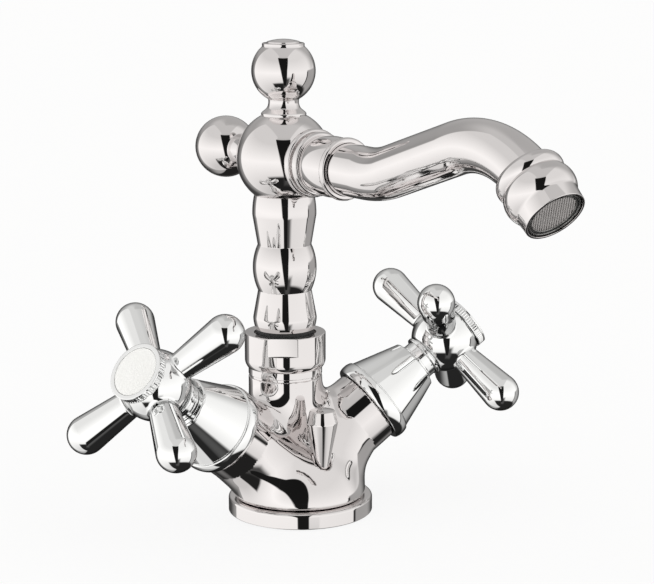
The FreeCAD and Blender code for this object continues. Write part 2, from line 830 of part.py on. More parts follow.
def make_spindle(shop, d, at, title):
    """Valve spindle: drive tang, flange, shaft with a seal groove and a clip groove, square end."""
    shaft = d.spindle_radius
    seal = at.stem_top - d.spindle_seal_drop
    groove = shaft - 2 * d.spindle_seal_radius
    clip = shaft - d.clip_groove_depth
    hole = d.screw_radius
    spindle = shop.turned(f"{title}Spindle", [
        (0, at.spindle_floor),
        (d.spindle_flange_radius, at.spindle_floor),
        (d.spindle_flange_radius, at.spindle_floor + d.spindle_flange_height),
        (shaft, at.spindle_floor + d.spindle_flange_height),
        (shaft, seal - d.spindle_seal_radius),
        (groove, seal - d.spindle_seal_radius),
        (groove, seal + d.spindle_seal_radius),
        (shaft, seal + d.spindle_seal_radius),
        (shaft, at.stem_top + d.disc_clearance),
        (clip, at.stem_top + d.disc_clearance),
        (clip, at.stem_top + d.clip_height),
        (shaft, at.stem_top + d.clip_height),
        (shaft, at.hub_foot),
        (0, at.hub_foot),
    ])
    half = d.square_width / 2
    square = shop.sketch(spindle, f"{title}Square", "XY_Plane", at.hub_foot)
    shop.outline(square, [(0 - half, 0 - half), (half, 0 - half), (half, half), (0 - half, half)])
    shop.pad(spindle, square, f"{title}SquareEnd", d.square_length)
    drill = shop.sketch(spindle, f"{title}ScrewHole", "XY_Plane", at.square_top)
    shop.round_hole(drill, 0, 0, hole)
    shop.pocket(spindle, drill, f"{title}ScrewDrill", d.screw_length)
    half_width = d.tang_width / 2
    half_length = d.tang_length / 2
    tang = shop.sketch(spindle, f"{title}Tang", "XY_Plane", at.spindle_floor)
    shop.outline(tang, [(0 - half_length, 0 - half_width), (half_length, 0 - half_width),
                        (half_length, half_width), (0 - half_length, half_width)])
    shop.pad(spindle, tang, f"{title}TangEnd", d.tang_depth, downward=True)
    return spindle


def make_bell(shop, d, at, side, word):
    """Bell shroud over the headwork: rolled bead, tapering skirt and six wrench flats at the top."""
    title = word.capitalize()
    foot, top = at.arm_face, at.bell_top
    bead = d.bell_bead_height
    inner_foot = d.arm_radius
    hole = d.bonnet_stem_radius + d.thread_clearance
    inner_top = d.bell_top_radius - d.bell_wall
    swell = bulge((d.bell_foot_radius, foot), (d.bell_foot_radius, foot + bead),
                  d.bell_bead_radius - d.bell_foot_radius)
    bell = shop.turned(f"{title}Bell", [
        (inner_foot, foot),
        (d.bell_foot_radius, foot),
        (d.bell_foot_radius, foot + bead, swell),
        (d.bell_top_radius, top - d.bell_top_edge),
        (d.bell_top_radius - d.bell_top_edge, top, d.bell_top_edge),
        (hole, top),
        (hole, top - d.bell_web),
        (inner_top, top - d.bell_web),
        (inner_foot, foot + bead),
    ])
    # A flat is a wedge that is deepest at the top and dies out down the skirt
    depth = d.bell_flat_depth
    outer = d.bell_top_radius
    flat = shop.sketch(bell, f"{title}Flat", "XZ_Plane")
    slope = (d.bell_foot_radius - d.bell_top_radius) / (d.bell_height - bead)
    low = top - d.bell_flat_length
    shop.outline(flat, [
        (outer - depth, top + d.bell_top_edge),
        (outer + slope * d.bell_flat_length - d.bell_top_edge * slope, low),
        (outer + slope * d.bell_flat_length + d.cut_overrun, low),
        (outer + slope * d.bell_flat_length + d.cut_overrun, top + d.bell_top_edge),
    ])
    wedge = bell.newObject("PartDesign::Pocket", f"{title}FlatCut")
    wedge.Profile = flat
    wedge.Type = 0
    wedge.Midplane = True
    wedge.setExpression("Length", (2 * d.bell_top_radius).formula)
    shop.document.recompute()
    shop.polar(bell, wedge, 6)
    shop.keep(f"{word}_bell_shroud", bell, at.valve(d, side))


def make_handle(shop, d, at, side, word):
    """Cross handle: turned hub with four club arms, on a square socket."""
    title = word.capitalize()
    place = at.valve(d, side, side * d.handle_phase.value)
    foot = at.handle_foot
    bore = d.spindle_radius + d.popup_gap
    socket = d.index_spigot_radius + d.index_fit
    hole = d.screw_radius + d.square_clearance
    ring = d.hub_ring_radius
    waist = d.collar_radius
    square = d.square_width / 2 + d.square_clearance
    dome = bulge((ring, at.hub_base), (d.hub_radius, at.arm_plane), d.hub_ring_height)
    crown = bulge((d.hub_radius, at.arm_plane), (d.hub_front_radius, at.hub_front),
                  d.hub_ring_groove)
    handle = shop.turned(f"{title}Handle", [
        (bore, foot),
        (waist, foot),
        (waist, at.hub_foot),
        (ring, at.hub_foot),
        (ring, at.hub_foot + d.hub_ring_height),
        (waist + d.hub_ring_groove, at.hub_foot + d.hub_ring_height),
        (waist + d.hub_ring_groove, at.hub_base),
        (ring, at.hub_base),
        (d.hub_radius, at.arm_plane, dome),
        (d.hub_front_radius, at.hub_front, crown),
        (socket, at.hub_front),
        (socket, at.screw_seat),
        (hole, at.screw_seat),
        (hole, at.hub_foot),
        (bore, at.hub_foot),
    ])
    key = shop.sketch(handle, f"{title}Socket", "XY_Plane", at.hub_foot)
    shop.outline(key, [(0 - square, 0 - square), (square, 0 - square), (square, square),
                       (0 - square, square)])
    shop.pocket(handle, key, f"{title}SocketCut", d.square_length + d.square_clearance, upward=True)
    arm = handle.newObject("Sketcher::SketchObject", f"{title}Arm")
    arm.AttachmentSupport = [(shop.plane(handle, "XZ_Plane"), "")]
    arm.MapMode = "FlatFace"
    arm.setExpression("AttachmentOffset.Base.y", at.arm_plane.formula)
    tip = d.arm_tip_radius
    shop.outline(arm, [
        (d.arm_hub_reach, 0),
        (d.arm_tip_reach + tip, 0),
        (d.arm_tip_reach, tip, tip),
        (d.arm_hub_reach, d.arm_hub_radius),
    ])
    turn = handle.newObject("PartDesign::Revolution", f"{title}ArmTurn")
    turn.Profile = arm
    turn.ReferenceAxis = (arm, ["H_Axis"])
    turn.Angle = 360
    shop.document.recompute()
    shop.polar(handle, turn, 4)
    shop.keep(f"{word}_cross_handle", handle, place)

    head = at.screw_seat
    screw = shop.turned(f"{title}HandleScrew", [
        (0, head - d.screw_length),
        (d.screw_radius - d.index_fit, head - d.screw_length),
        (d.screw_radius - d.index_fit, head),
        (d.screw_head_radius, head),
        (d.screw_head_radius, head + d.screw_head_height),
        (0, head + d.screw_head_height),
    ])
    drive = shop.sketch(screw, f"{title}ScrewSocket", "XY_Plane", head + d.screw_head_height)
    shop.outline(drive, hexagon(d.screw_socket_width))
    shop.pocket(screw, drive, f"{title}ScrewSocketCut", d.screw_head_height / 2)
    shop.keep(f"{word}_handle_screw", screw, place)

    front = at.hub_front
    face = front + d.index_ring_height
    recess = face - d.index_disc_height
    index = shop.turned(f"{title}IndexRing", [
        (d.index_spigot_radius - d.index_spigot_wall, front - d.index_spigot_length),
        (d.index_spigot_radius, front - d.index_spigot_length),
        (d.index_spigot_radius, front),
        (d.index_ring_radius, front),
        (d.index_ring_radius, face - d.index_ring_edge),
        (d.index_ring_radius - d.index_ring_edge, face, d.index_ring_edge),
        (d.index_disc_radius, face),
        (d.index_disc_radius, recess),
        (d.index_spigot_radius - d.index_spigot_wall, recess),
    ])
    shop.keep(f"{word}_index_ring", index, place)

    rim = d.index_disc_radius - d.index_fit
    crown_radius = rim * rim / (2 * d.index_disc_crown) + d.index_disc_crown / 2
    disc = shop.turned(f"{title}IndexDisc", [
        (0, recess),
        (rim, recess),
        (rim, face),
        (0, face + d.index_disc_crown, crown_radius),
    ])
    shop.keep(f"{word}_index_disc", disc, place)


def make_swivel(shop, d, at):
    """Swivel nut and slide ring that hold the column on the body's neck."""
    top = at.nut_top
    foot = top - d.nut_height
    lip = top - d.nut_lip
    nut = shop.turned("SwivelNut", [
        (d.neck_radius + d.thread_clearance, foot),
        (d.nut_radius - d.nut_lower_round / 3, foot),
        (d.nut_radius, foot + d.nut_lower_round, d.nut_lower_round * 5 / 3),
        (d.nut_radius, top - d.nut_edge),
        (d.nut_radius - d.nut_edge, top, d.nut_edge),
        (d.nut_lip_radius, top),
        (d.nut_lip_radius, lip),
        (d.neck_radius + d.thread_clearance, lip),
    ])
    # Two spanner flats, each a chord off the upper half of the nut
    flat = shop.sketch(nut, "NutFlat", "XZ_Plane")
    face, far = d.nut_radius - d.nut_flat_depth, d.nut_radius + d.cut_overrun
    shop.outline(flat, [(face, top - d.nut_flat_height), (far, top - d.nut_flat_height),
                        (far, top + d.cut_overrun), (face, top + d.cut_overrun)])
    notch = nut.newObject("PartDesign::Pocket", "NutFlatCut")
    notch.Profile = flat
    notch.Type = 0
    notch.Midplane = True
    notch.setExpression("Length", (2 * d.nut_radius).formula)
    shop.document.recompute()
    shop.polar(nut, notch, 2)
    turn = Placement(Vector(), Rotation(AXIS_Z, d.nut_flat_phase.value))
    shop.keep("swivel_nut", nut, at.column.multiply(turn))
    inner = d.spigot_bore_radius - d.spigot_groove_depth
    ring = shop.turned("SlideRing", [
        (inner, d.neck_top_height),
        (d.neck_radius, d.neck_top_height),
        (d.neck_radius, d.neck_top_height + d.slide_ring_height),
        (inner, d.neck_top_height + d.slide_ring_height),
    ])
    shop.keep("slide_ring", ring, at.column)


def make_column(shop, d, at):
    """Turned column: sealed spigot, collar groove, and three beads up to the ball."""
    spigot = d.spigot_bore_radius - d.spigot_clearance
    groove = d.spigot_bore_radius - d.spigot_groove_depth - d.spigot_clearance
    floor = d.spigot_bore_radius - 2 * d.seal_radius - 2 * d.seal_clearance
    neck_top = d.neck_top_height
    ring_top = neck_top + d.slide_ring_height
    bottom = neck_top - d.spigot_bore_depth + d.popup_gap
    lower = bottom + d.seal_spacing / 2
    upper = lower + d.seal_spacing + 2 * d.seal_radius
    foot = at.column_foot
    bead_low = foot + d.column_foot_height
    neck_low = bead_low + d.column_cone_height
    neck_high = neck_low + d.column_barrel_height
    bead_high = neck_high + d.column_cone_two_height
    top = at.column_top
    low_arc = bulge((d.column_foot_radius, foot), (d.column_bead_radius, bead_low), d.seal_radius / 4)
    barrel = bulge((d.column_neck_radius, neck_low), (d.column_neck_radius, neck_high),
                   d.column_bead_radius - d.column_neck_radius)
    top_arc = bulge((d.column_bead_radius, bead_high), (d.column_top_radius, top), d.seal_radius / 4)
    bore = d.column_bore_radius
    seat = d.seal_radius + d.seal_clearance
    column = shop.turned("Column", [
        (bore, bottom),
        (spigot, bottom),
        (spigot, lower - seat),
        (floor, lower - seat),
        (floor, lower + seat),
        (spigot, lower + seat),
        (spigot, upper - seat),
        (floor, upper - seat),
        (floor, upper + seat),
        (spigot, upper + seat),
        (spigot, neck_top - d.slide_ring_play),
        (groove, neck_top - d.slide_ring_play),
        (groove, ring_top + d.slide_ring_play),
        (d.column_stem_radius, ring_top + d.slide_ring_play),
        (d.column_stem_radius, foot),
        (d.column_foot_radius, foot),
        (d.column_bead_radius, bead_low, low_arc),
        (d.column_neck_radius, neck_low),
        (d.column_neck_radius, neck_high, barrel),
        (d.column_bead_radius, bead_high),
        (d.column_top_radius, top, top_arc),
        (spigot, top),
        (spigot, top + d.column_spigot_length),
        (bore, top + d.column_spigot_length),
    ])
    shop.keep("column", column, at.column)
    rings = []
    for name, height in (("LowerSeal", lower), ("UpperSeal", upper)):
        place = Placement(Vector(0, d.column_setback.value, height.value), Rotation())
        rings.append(shop.ring(name, floor + d.seal_radius + d.seal_clearance, d.seal_radius, place))
    shop.document.recompute()
    seals = shop.document.addObject("Part::Compound", "ColumnSeals")
    seals.Links = rings
    shop.document.recompute()
    shop.keep("column_o_rings", seals)


def make_ball(shop, d, at):
    """Hollow ball with flat seats for the column, the collar and the two knobs."""
    ball = shop.document.addObject("Part::Sphere", "BallBlank")
    ball.setExpression("Radius", d.ball_radius.formula)
    ball.Placement = at.upward
    low = at.spout_height - at.column_top
    knob = cap(d.ball_radius, d.knob_flange_radius)
    spigot = d.spigot_bore_radius
    far = d.ball_radius

    def seat(name, frame, distance, radius, length):
        place = frame.multiply(Placement(Vector(0, 0, distance.value), Rotation()))
        return shop.cylinder(name, radius, length, place)

    downward = turned_place(at.ball_centre, Vector(0, 0, -1))
    tools = [
        seat("ColumnSeat", downward, low, far, far),
        seat("ColumnSocket", downward, low - d.column_spigot_length, spigot, far),
        seat("CollarSeat", at.forward, at.collar_seat, far, far),
        seat("CollarSocket", at.forward, at.collar_seat - d.collar_spigot_length, spigot, far),
        seat("FinialSeat", at.upward, knob, far, far),
        seat("FinialHole", at.upward, knob - d.knob_stud_length, d.knob_stud_radius, far),
        seat("RearSeat", at.rearward, knob, far, far),
        seat("RearHole", at.rearward, knob - d.knob_stud_length, d.knob_stud_radius, far),
        seat("RisingWay", downward, Size.of(0), d.column_bore_radius, far),
        seat("ForwardWay", at.forward, Size.of(0) - d.collar_bore_radius, d.collar_bore_radius, far),
    ]
    shop.keep("spout_ball", shop.cut("SpoutBall", ball, tools))


def knob_outline(d, seat, neck_height):
    """Return the lower outline of a turned knob and the height of its ball's centre."""
    flange = seat + d.knob_flange_height
    neck = flange + neck_height
    centre = neck + cap(d.knob_ball_radius, d.knob_neck_radius)
    cove = neck_height
    lower = [
        (0, seat - d.knob_stud_length),
        (d.knob_stud_radius - d.index_fit, seat - d.knob_stud_length),
        (d.knob_stud_radius - d.index_fit, seat),
        (d.knob_flange_radius, seat),
        (d.knob_flange_radius, seat + d.knob_flange_height / 2),
        (d.knob_neck_radius + d.nut_edge, flange),
        (d.knob_neck_radius, neck, 0 - cove * 2),
    ]
    return lower, centre


def make_knobs(shop, d, at):
    """Finial on the ball and the knob behind it."""
    seat = cap(d.ball_radius, d.knob_flange_radius)
    lower, centre = knob_outline(d, seat, d.finial_neck_height)
    ball = d.knob_ball_radius
    shelf = centre + cap(ball, d.finial_ring_radius)
    cap_foot = shelf + d.finial_ring_height
    finial = shop.turned("Finial", lower + [
        (ball, centre, ball),
        (d.finial_ring_radius, shelf, ball),
        (d.finial_ring_radius, cap_foot),
        (d.finial_cap_radius, cap_foot),
        (d.finial_cap_radius, cap_foot + d.finial_cap_height),
        (0, cap_foot + d.finial_cap_height),
    ])
    shop.keep("finial", finial, at.upward)
    lower, centre = knob_outline(d, seat, d.rear_neck_height)
    rear = shop.turned("RearKnob", lower + [
        (ball, centre, ball),
        (0, centre + ball, ball),
    ])
    shop.keep("rear_knob", rear, at.rearward)


def make_collar(shop, d, at):
    """Stepped collar that joins the ball and the spout tube."""
    seat = at.collar_seat
    spigot = d.spigot_bore_radius - d.index_fit
    ring = seat + d.collar_boss_length
    ring_end = ring + d.collar_ring_width
    step = ring_end + d.collar_groove
    step_end = step + d.collar_step_width
    barrel = step_end + d.collar_groove
    barrel_end = barrel + d.collar_barrel_length
    end = at.collar_end
    socket = d.tube_root_radius + d.tube_fit
    groove = d.collar_barrel_radius
    ring_arc = bulge((d.collar_ring_radius, ring), (d.collar_ring_radius, ring_end), d.collar_groove)
    step_arc = bulge((d.collar_step_radius, step), (d.collar_step_radius, step_end), d.collar_groove)
    bead_arc = bulge((d.collar_bead_radius, barrel_end), (d.collar_bead_radius, end), d.collar_groove)
    barrel_arc = bulge((d.collar_barrel_radius, barrel), (d.collar_barrel_radius, barrel_end),
                       d.collar_barrel_bulge)
    collar = shop.turned("SpoutCollar", [
        (d.collar_bore_radius, seat - d.collar_spigot_length),
        (spigot, seat - d.collar_spigot_length),
        (spigot, seat),
        (d.collar_boss_radius, seat),
        (d.collar_boss_radius, ring),
        (d.collar_ring_radius - d.collar_groove, ring),
        (d.collar_ring_radius - d.collar_groove, ring_end, ring_arc),
        (groove, ring_end),
        (groove, step),
        (d.collar_step_radius - d.collar_groove, step),
        (d.collar_step_radius - d.collar_groove, step_end, step_arc),
        (groove, step_end),
        (groove, barrel),
        (d.collar_barrel_radius, barrel_end, barrel_arc),
        (d.collar_bead_radius - d.collar_groove, barrel_end),
        (d.collar_bead_radius - d.collar_groove, end, bead_arc),
        (socket, end),
        (socket, end - d.tube_socket_depth),
        (d.collar_bore_radius, end - d.tube_socket_depth),
    ])
    shop.keep("spout_collar", collar, at.forward)


def tube_spine(shop, d, at, name, start):
    """Return the tube's centre line as a wire in the plane X = 0, from a reach on."""
    level, slope, shoulder = at.tube_bend
    rise = math.radians(d.tube_rise_angle.value)
    drop = math.radians(d.tube_drop_angle.value)
    bend, crest = d.tube_rise_radius.value, d.tube_crest_radius.value
    middle = (level[0] + bend * math.sin(rise / 2), bend * (1 - math.cos(rise / 2)))
    turn = (rise - drop) / 2
    over = (at.tube_top[0] - crest * math.sin(turn), at.tube_top[1] - crest * (1 - math.cos(turn)))
    point = at.spout_point
    edges = [
        Part.LineSegment(point((start.value, 0)), point(level)).toShape(),
        Part.Arc(point(level), point(middle), point(slope)).toShape(),
        Part.LineSegment(point(slope), point(shoulder)).toShape(),
        Part.Arc(point(shoulder), point(over), point(at.tube_end)).toShape(),
    ]
    spine = shop.document.addObject("Part::Feature", name)
    spine.Shape = Part.Wire(edges)
    return spine


def swept(shop, at, name, spine, start, root, end):
    """Return a round tube swept along the spine from one radius to another."""
    ends = []
    places = (turned_place(at.spout_point((start.value, 0)), Vector(0, -1, 0)), at.nozzle)
    for word, radius, place in zip(("Root", "End"), (root, end), places):
        circle = shop.document.addObject("Part::Circle", f"{name}{word}")
        circle.setExpression("Radius", radius.formula)
        circle.Placement = place
        ends.append(circle)
    sweep = shop.document.addObject("Part::Sweep", name)
    sweep.Sections = ends
    sweep.Spine = (spine, [f"Edge{index}" for index in range(1, 5)])
    sweep.Solid = True
    sweep.Frenet = False
    shop.document.recompute()
    return sweep


def make_tube(shop, d, at):
    """Swan spout tube, and the tool that bores the nozzle to fit it."""
    start = at.collar_end - d.tube_socket_depth
    spine = tube_spine(shop, d, at, "TubeSpine", start)
    outer = swept(shop, at, "TubeOutside", spine, start, d.tube_root_radius, d.tube_end_radius)
    inner = swept(shop, at, "TubeInside", spine, start, d.tube_root_radius - d.tube_wall,
                  d.tube_end_radius - d.tube_wall)
    shop.keep("spout_tube", shop.cut("SpoutTube", outer, [inner]))
    return swept(shop, at, "TubeSocket", spine, start, d.tube_root_radius + d.tube_fit,
                 d.tube_end_radius + d.tube_fit)


def make_nozzle(shop, d, at, socket):
    """Nozzle with its two rolled rings and flared mouth, bored for the tube and the aerator."""
    back = 0 - d.nozzle_back
    ring_end = back + d.nozzle_ring_width
    bead_end = ring_end + d.nozzle_bead_width
    front = d.nozzle_front
    ring_arc = bulge((d.nozzle_back_radius, back), (d.nozzle_waist_radius, ring_end),
                     d.nozzle_ring_radius - (d.nozzle_back_radius + d.nozzle_waist_radius) / 2)
    bead_arc = bulge((d.nozzle_waist_radius, ring_end), (d.nozzle_throat_radius, bead_end),
                     d.nozzle_bead_radius - (d.nozzle_waist_radius + d.nozzle_throat_radius) / 2)
    bore = d.nozzle_mouth_radius - d.nozzle_rim
    throat = d.tube_end_radius - d.tube_wall
    chamber = front - d.aerator_depth - d.aerator_washer_height - d.aerator_recess
    nozzle = shop.turned("NozzleBlank", [
        (throat, back),
        (d.nozzle_back_radius, back),
        (d.nozzle_waist_radius, ring_end, ring_arc),
        (d.nozzle_throat_radius, bead_end, bead_arc),
        (d.nozzle_mouth_radius, front, 0 - 8 * d.nozzle_throat_radius / 2),
        (bore, front),
        (bore, chamber),
        (throat, chamber),
    ])
    nozzle.Placement = at.nozzle
    shop.document.recompute()
    shop.keep("nozzle", shop.cut("Nozzle", nozzle, [socket]))

    outside = bore - d.aerator_gap
    inside = outside - d.aerator_wall
    mouth = front - d.aerator_recess
    floor = mouth - d.aerator_depth
    screen = mouth - d.aerator_screen_recess
    screen_floor = screen - d.aerator_screen_height
    core_floor = screen_floor - d.flow_core_height
    shelf = inside - d.aerator_wall
    housing = shop.turned("AeratorHousing", [
        (shelf, floor),
        (outside, floor),
        (outside, mouth),
        (inside, mouth),
        (inside, core_floor),
        (shelf, core_floor),
    ])
    shop.keep("aerator_housing", housing, at.nozzle)
    washer = shop.turned("AeratorWasher", [
        (outside - d.aerator_washer_width, chamber),
        (outside, chamber),
        (outside, floor),
        (outside - d.aerator_washer_width, floor),
    ])
    shop.keep("aerator_washer", washer, at.nozzle)
    core = shop.turned("FlowCore", [
        (d.flow_core_radius, core_floor),
        (inside - d.aerator_gap, core_floor),
        (inside - d.aerator_gap, screen_floor),
        (d.flow_core_radius, screen_floor),
    ])
    shop.keep("flow_core", core, at.nozzle)
    make_screen(shop, d, at, inside - d.aerator_gap, screen_floor)


def make_screen(shop, d, at, radius, floor):
    """Aerator screen: a thin disc with a row of slots, each as long as the disc allows."""
    disc = shop.turned("ScreenBlank", [
        (0, floor),
        (radius, floor),
        (radius, floor + d.aerator_screen_height),
        (0, floor + d.aerator_screen_height),
    ])
    slots = shop.sketch(disc, "ScreenSlots", "XY_Plane", floor + d.aerator_screen_height)
    half = d.screen_slot / 2
    reach = radius - d.screen_rim
    steps = int((reach - d.screen_slot).value / d.screen_pitch.value)
    for row in range(-steps, steps + 1):
        middle = d.screen_pitch * row
        edge = d.screen_pitch * abs(row) + half
        length = (reach * reach - edge * edge).root()
        shop.outline(slots, [(0 - length, middle - half), (length, middle - half),
                             (length, middle + half), (0 - length, middle + half)])
    shop.pocket(disc, slots, "ScreenCut", d.aerator_screen_height)
    shop.keep("aerator_screen", disc, at.nozzle)


def make_popup(shop, d, at):
    """Pop-up waste lift: guide bush in the body, rod and tapered knob."""
    place = Placement(Vector(0, -at.popup_forward.value, 0), Rotation())
    top = d.popup_seat_height
    bore = d.popup_rod_radius + d.popup_clearance
    guide = shop.turned("PopupGuide", [
        (bore, top - d.popup_guide_depth),
        (d.popup_guide_radius, top - d.popup_guide_depth),
        (d.popup_guide_radius, top),
        (bore, top),
    ])
    shop.keep("popup_guide", guide, place)
    foot = top + d.popup_gap
    wide = foot + d.popup_cone_height
    bevel = wide + d.popup_bevel_height
    socket = d.popup_rod_radius
    grip = wide - d.popup_cone_height / 3
    crown = d.popup_top_radius * d.popup_top_radius / (2 * d.popup_crown) + d.popup_crown / 2
    knob = shop.turned("PopupKnob", [
        (socket, foot),
        (d.popup_foot_radius, foot),
        (d.popup_wide_radius, wide),
        (d.popup_top_radius, bevel),
        (0, bevel + d.popup_crown, crown),
        (0, grip),
        (socket, grip),
    ])
    shop.keep("popup_knob", knob, place)
    rod = shop.turned("PopupRod", [
        (0, d.popup_rod_end),
        (socket, d.popup_rod_end),
        (socket, grip),
        (0, grip),
    ])
    shop.keep("popup_rod", rod, place)


def check(document, pieces, d, at):
    """Stop if a feature failed, a piece has no sound solid or the body has lost an arm."""
    for item in document.Objects:
        if "Invalid" in item.State or "Error" in item.State:
            raise RuntimeError(f"{item.Name} failed: {item.State}")
    for label, item in pieces.items():
        shape = item.Shape
        if shape.isNull() or not shape.isValid() or not shape.Solids:
            raise RuntimeError(f"{label} has no sound solid")
    wall = (d.arm_radius + d.valve_bore_radius).value / 2
    for side in (-1, 1):
        rim = at.valve(d, side).multVec(Vector(wall, 0, d.arm_reach.value - 1))
        if not pieces["mixer_body"].Shape.isInside(rim, 0.01, True):
            raise RuntimeError("mixer_body has lost an arm")


def main():
    """Build the tap and write one STEP file for each piece."""
    document = FreeCAD.newDocument("BidetMixer")
    d = Sizes(document)
    at = Layout(d)
    shop = Workshop(document)
    make_base(shop, d, at)
    make_mixer_body(shop, d, at)
    for side, word in ((-1, "hot"), (1, "cold")):
        make_valve(shop, d, at, side, word)
        make_bell(shop, d, at, side, word)
        make_handle(shop, d, at, side, word)
    make_swivel(shop, d, at)
    make_column(shop, d, at)
    make_ball(shop, d, at)
    make_knobs(shop, d, at)
    make_collar(shop, d, at)
    socket = make_tube(shop, d, at)
    make_nozzle(shop, d, at, socket)
    make_popup(shop, d, at)
    document.recompute()
    check(document, shop.pieces, d, at)
    os.makedirs("parts", exist_ok=True)
    for label, item in shop.pieces.items():
        item.Shape.exportStep(f"parts/{label}.step")
    print(f"{len(shop.pieces)} pieces written")


main()
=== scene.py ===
"""Two-handle bidet mixer tap in mirror chrome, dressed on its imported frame.

Every shape is worked out in millimetres in the frame's own axes (Z up, the spout towards -Y, the hot
valve on -X) and goes into its mesh in metres.  Turned pieces are outlines carried round an axis, the
spout is a circle carried along a path, and the cast pieces are the zero surface of a distance field.
"""
from __future__ import annotations

import json
import logging
import math
from dataclasses import dataclass, field
from enum import Enum
from typing import Callable, Sequence

import bpy
import numpy as np
from mathutils import Matrix, Vector

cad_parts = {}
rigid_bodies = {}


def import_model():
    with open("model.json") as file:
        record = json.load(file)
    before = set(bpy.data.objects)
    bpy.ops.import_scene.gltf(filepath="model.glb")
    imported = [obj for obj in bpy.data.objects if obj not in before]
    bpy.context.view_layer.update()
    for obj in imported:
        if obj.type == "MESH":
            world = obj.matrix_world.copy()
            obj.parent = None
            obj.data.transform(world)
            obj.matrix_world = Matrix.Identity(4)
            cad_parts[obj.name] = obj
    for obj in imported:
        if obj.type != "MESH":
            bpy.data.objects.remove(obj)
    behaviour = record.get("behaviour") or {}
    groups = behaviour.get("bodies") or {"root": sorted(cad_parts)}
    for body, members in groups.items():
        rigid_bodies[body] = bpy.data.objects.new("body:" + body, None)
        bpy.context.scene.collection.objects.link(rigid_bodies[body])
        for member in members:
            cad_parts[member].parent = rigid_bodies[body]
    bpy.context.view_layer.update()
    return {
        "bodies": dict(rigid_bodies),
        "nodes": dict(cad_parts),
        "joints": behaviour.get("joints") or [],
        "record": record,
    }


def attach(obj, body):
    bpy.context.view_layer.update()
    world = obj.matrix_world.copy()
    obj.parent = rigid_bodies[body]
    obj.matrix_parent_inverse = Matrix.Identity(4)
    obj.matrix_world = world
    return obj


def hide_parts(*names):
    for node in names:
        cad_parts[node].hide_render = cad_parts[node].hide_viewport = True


LOG = logging.getLogger("bidet_mixer")
MM = 0.001
IMAGE_WIDTH = 654
# Lengths that count as nought, and points that count as one
TINY = 1e-9
NEAR = 1e-6
# Most of a run that one rounded corner takes, and the points on its curve
SOFT_SHARE = 0.45
CORNER_POINTS = 8
Array = np.ndarray
Field = Callable[[Array], Array]


class Slot(Enum):
    """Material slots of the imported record."""

    CHROME = "chrome_plate"
    PORCELAIN = "index_porcelain"
    CERAMIC = "ceramic_disc"
    BRASS = "turned_brass"
    STEEL = "steel"
    RUBBER = "seal_rubber"
    PLASTIC = "bush_plastic"


class Side(Enum):
    """The two valves, with the sign of X on which each one lies."""

    HOT = -1
    COLD = 1

    @property
    def word(self) -> str:
        """Return the side's name as the nodes write it."""
        return self.name.lower()


@dataclass
class Surface:
    """A mesh as arrays: points and normals (n, 3), four-cornered faces and three-cornered faces."""

    points: Array
    normals: Array
    quads: Array
    tris: Array = field(default_factory=lambda: np.zeros((0, 3), int))

    def joined(self, other: Surface) -> Surface:
        """Return both surfaces as one.

        Args:
            other: the surface that is added after this one.

        Returns:
            A surface with the points and faces of both.
        """
        shift = len(self.points)
        return Surface(
            np.concatenate([self.points, other.points]),
            np.concatenate([self.normals, other.normals]),
            np.concatenate([self.quads, other.quads + shift]),
            np.concatenate([self.tris, other.tris + shift]),
        )


@dataclass(frozen=True)
class Place:
    """An origin and three axes, by which a local surface is set into the frame."""

    origin: tuple[float, float, float] = (0.0, 0.0, 0.0)
    across: tuple[float, float, float] = (1.0, 0.0, 0.0)
    up: tuple[float, float, float] = (0.0, 1.0, 0.0)
    along: tuple[float, float, float] = (0.0, 0.0, 1.0)

    @staticmethod
    def turned(origin: Sequence[float], direction: Sequence[float], spin: float = 0.0) -> Place:
        """Return the place whose local Z lies along a direction, turned round it by an angle.

        Args:
            origin: the local origin, in millimetres.
            direction: a unit vector for local Z.
            spin: degrees by which local X turns from the level direction.

        Returns:
            The place.
        """
        along = np.asarray(direction, float)
        level = np.cross((0.0, 0.0, 1.0), along)
        size = np.linalg.norm(level)
        level = level / size if size > TINY else np.array((1.0, 0.0, 0.0))
        rise = np.cross(along, level)
        turn = math.radians(spin)
        across = math.cos(turn) * level + math.sin(turn) * rise
        up = np.cross(along, across)
        return Place(tuple(origin), tuple(across), tuple(up), tuple(along))

    def set(self, surface: Surface) -> Surface:
        """Return a local surface in the frame's axes."""
        axes = np.array((self.across, self.up, self.along))
        return Surface(surface.points @ axes + np.array(self.origin), surface.normals @ axes,
                       surface.quads, surface.tris)


@dataclass(frozen=True)
class Turn:
    """One corner of a turned outline.

    soft is the length over which the corner is rounded, and crown is the rise, to the outside, of the arc
    that leads to the corner from the one before.
    """

    radius: float
    height: float
    soft: float = 0.12
    crown: float = 0.0


def arc_run(start: Array, end: Array, crown: float, steps: int = 28) -> Array:
    """Return the points of a straight run or of the arc that rises by crown over it.

    The arc's radius is (chord^2 / 4 + crown^2) / (2 crown), and it bows to the right of the way along.

    Args:
        start: first point (radius, height).
        end: last point.
        crown: rise of the arc at its middle, nought for a straight run.
        steps: points along an arc.

    Returns:
        An array (n, 2).
    """
    if abs(crown) < TINY:
        return np.stack([start, end])
    chord = end - start
    length = np.linalg.norm(chord)
    right = np.array((chord[1], -chord[0])) / length
    bow = (length * length / 4 + crown * crown) / (2 * crown)
    half = 2 * math.atan2(2 * abs(crown), length)
    centre = (start + end) / 2 - right * (bow - crown)
    turn = np.linspace(-half, half, steps)[:, None]
    return centre + abs(bow) * (math.copysign(1.0, crown) * right * np.cos(turn)
                                + chord / length * np.sin(turn))


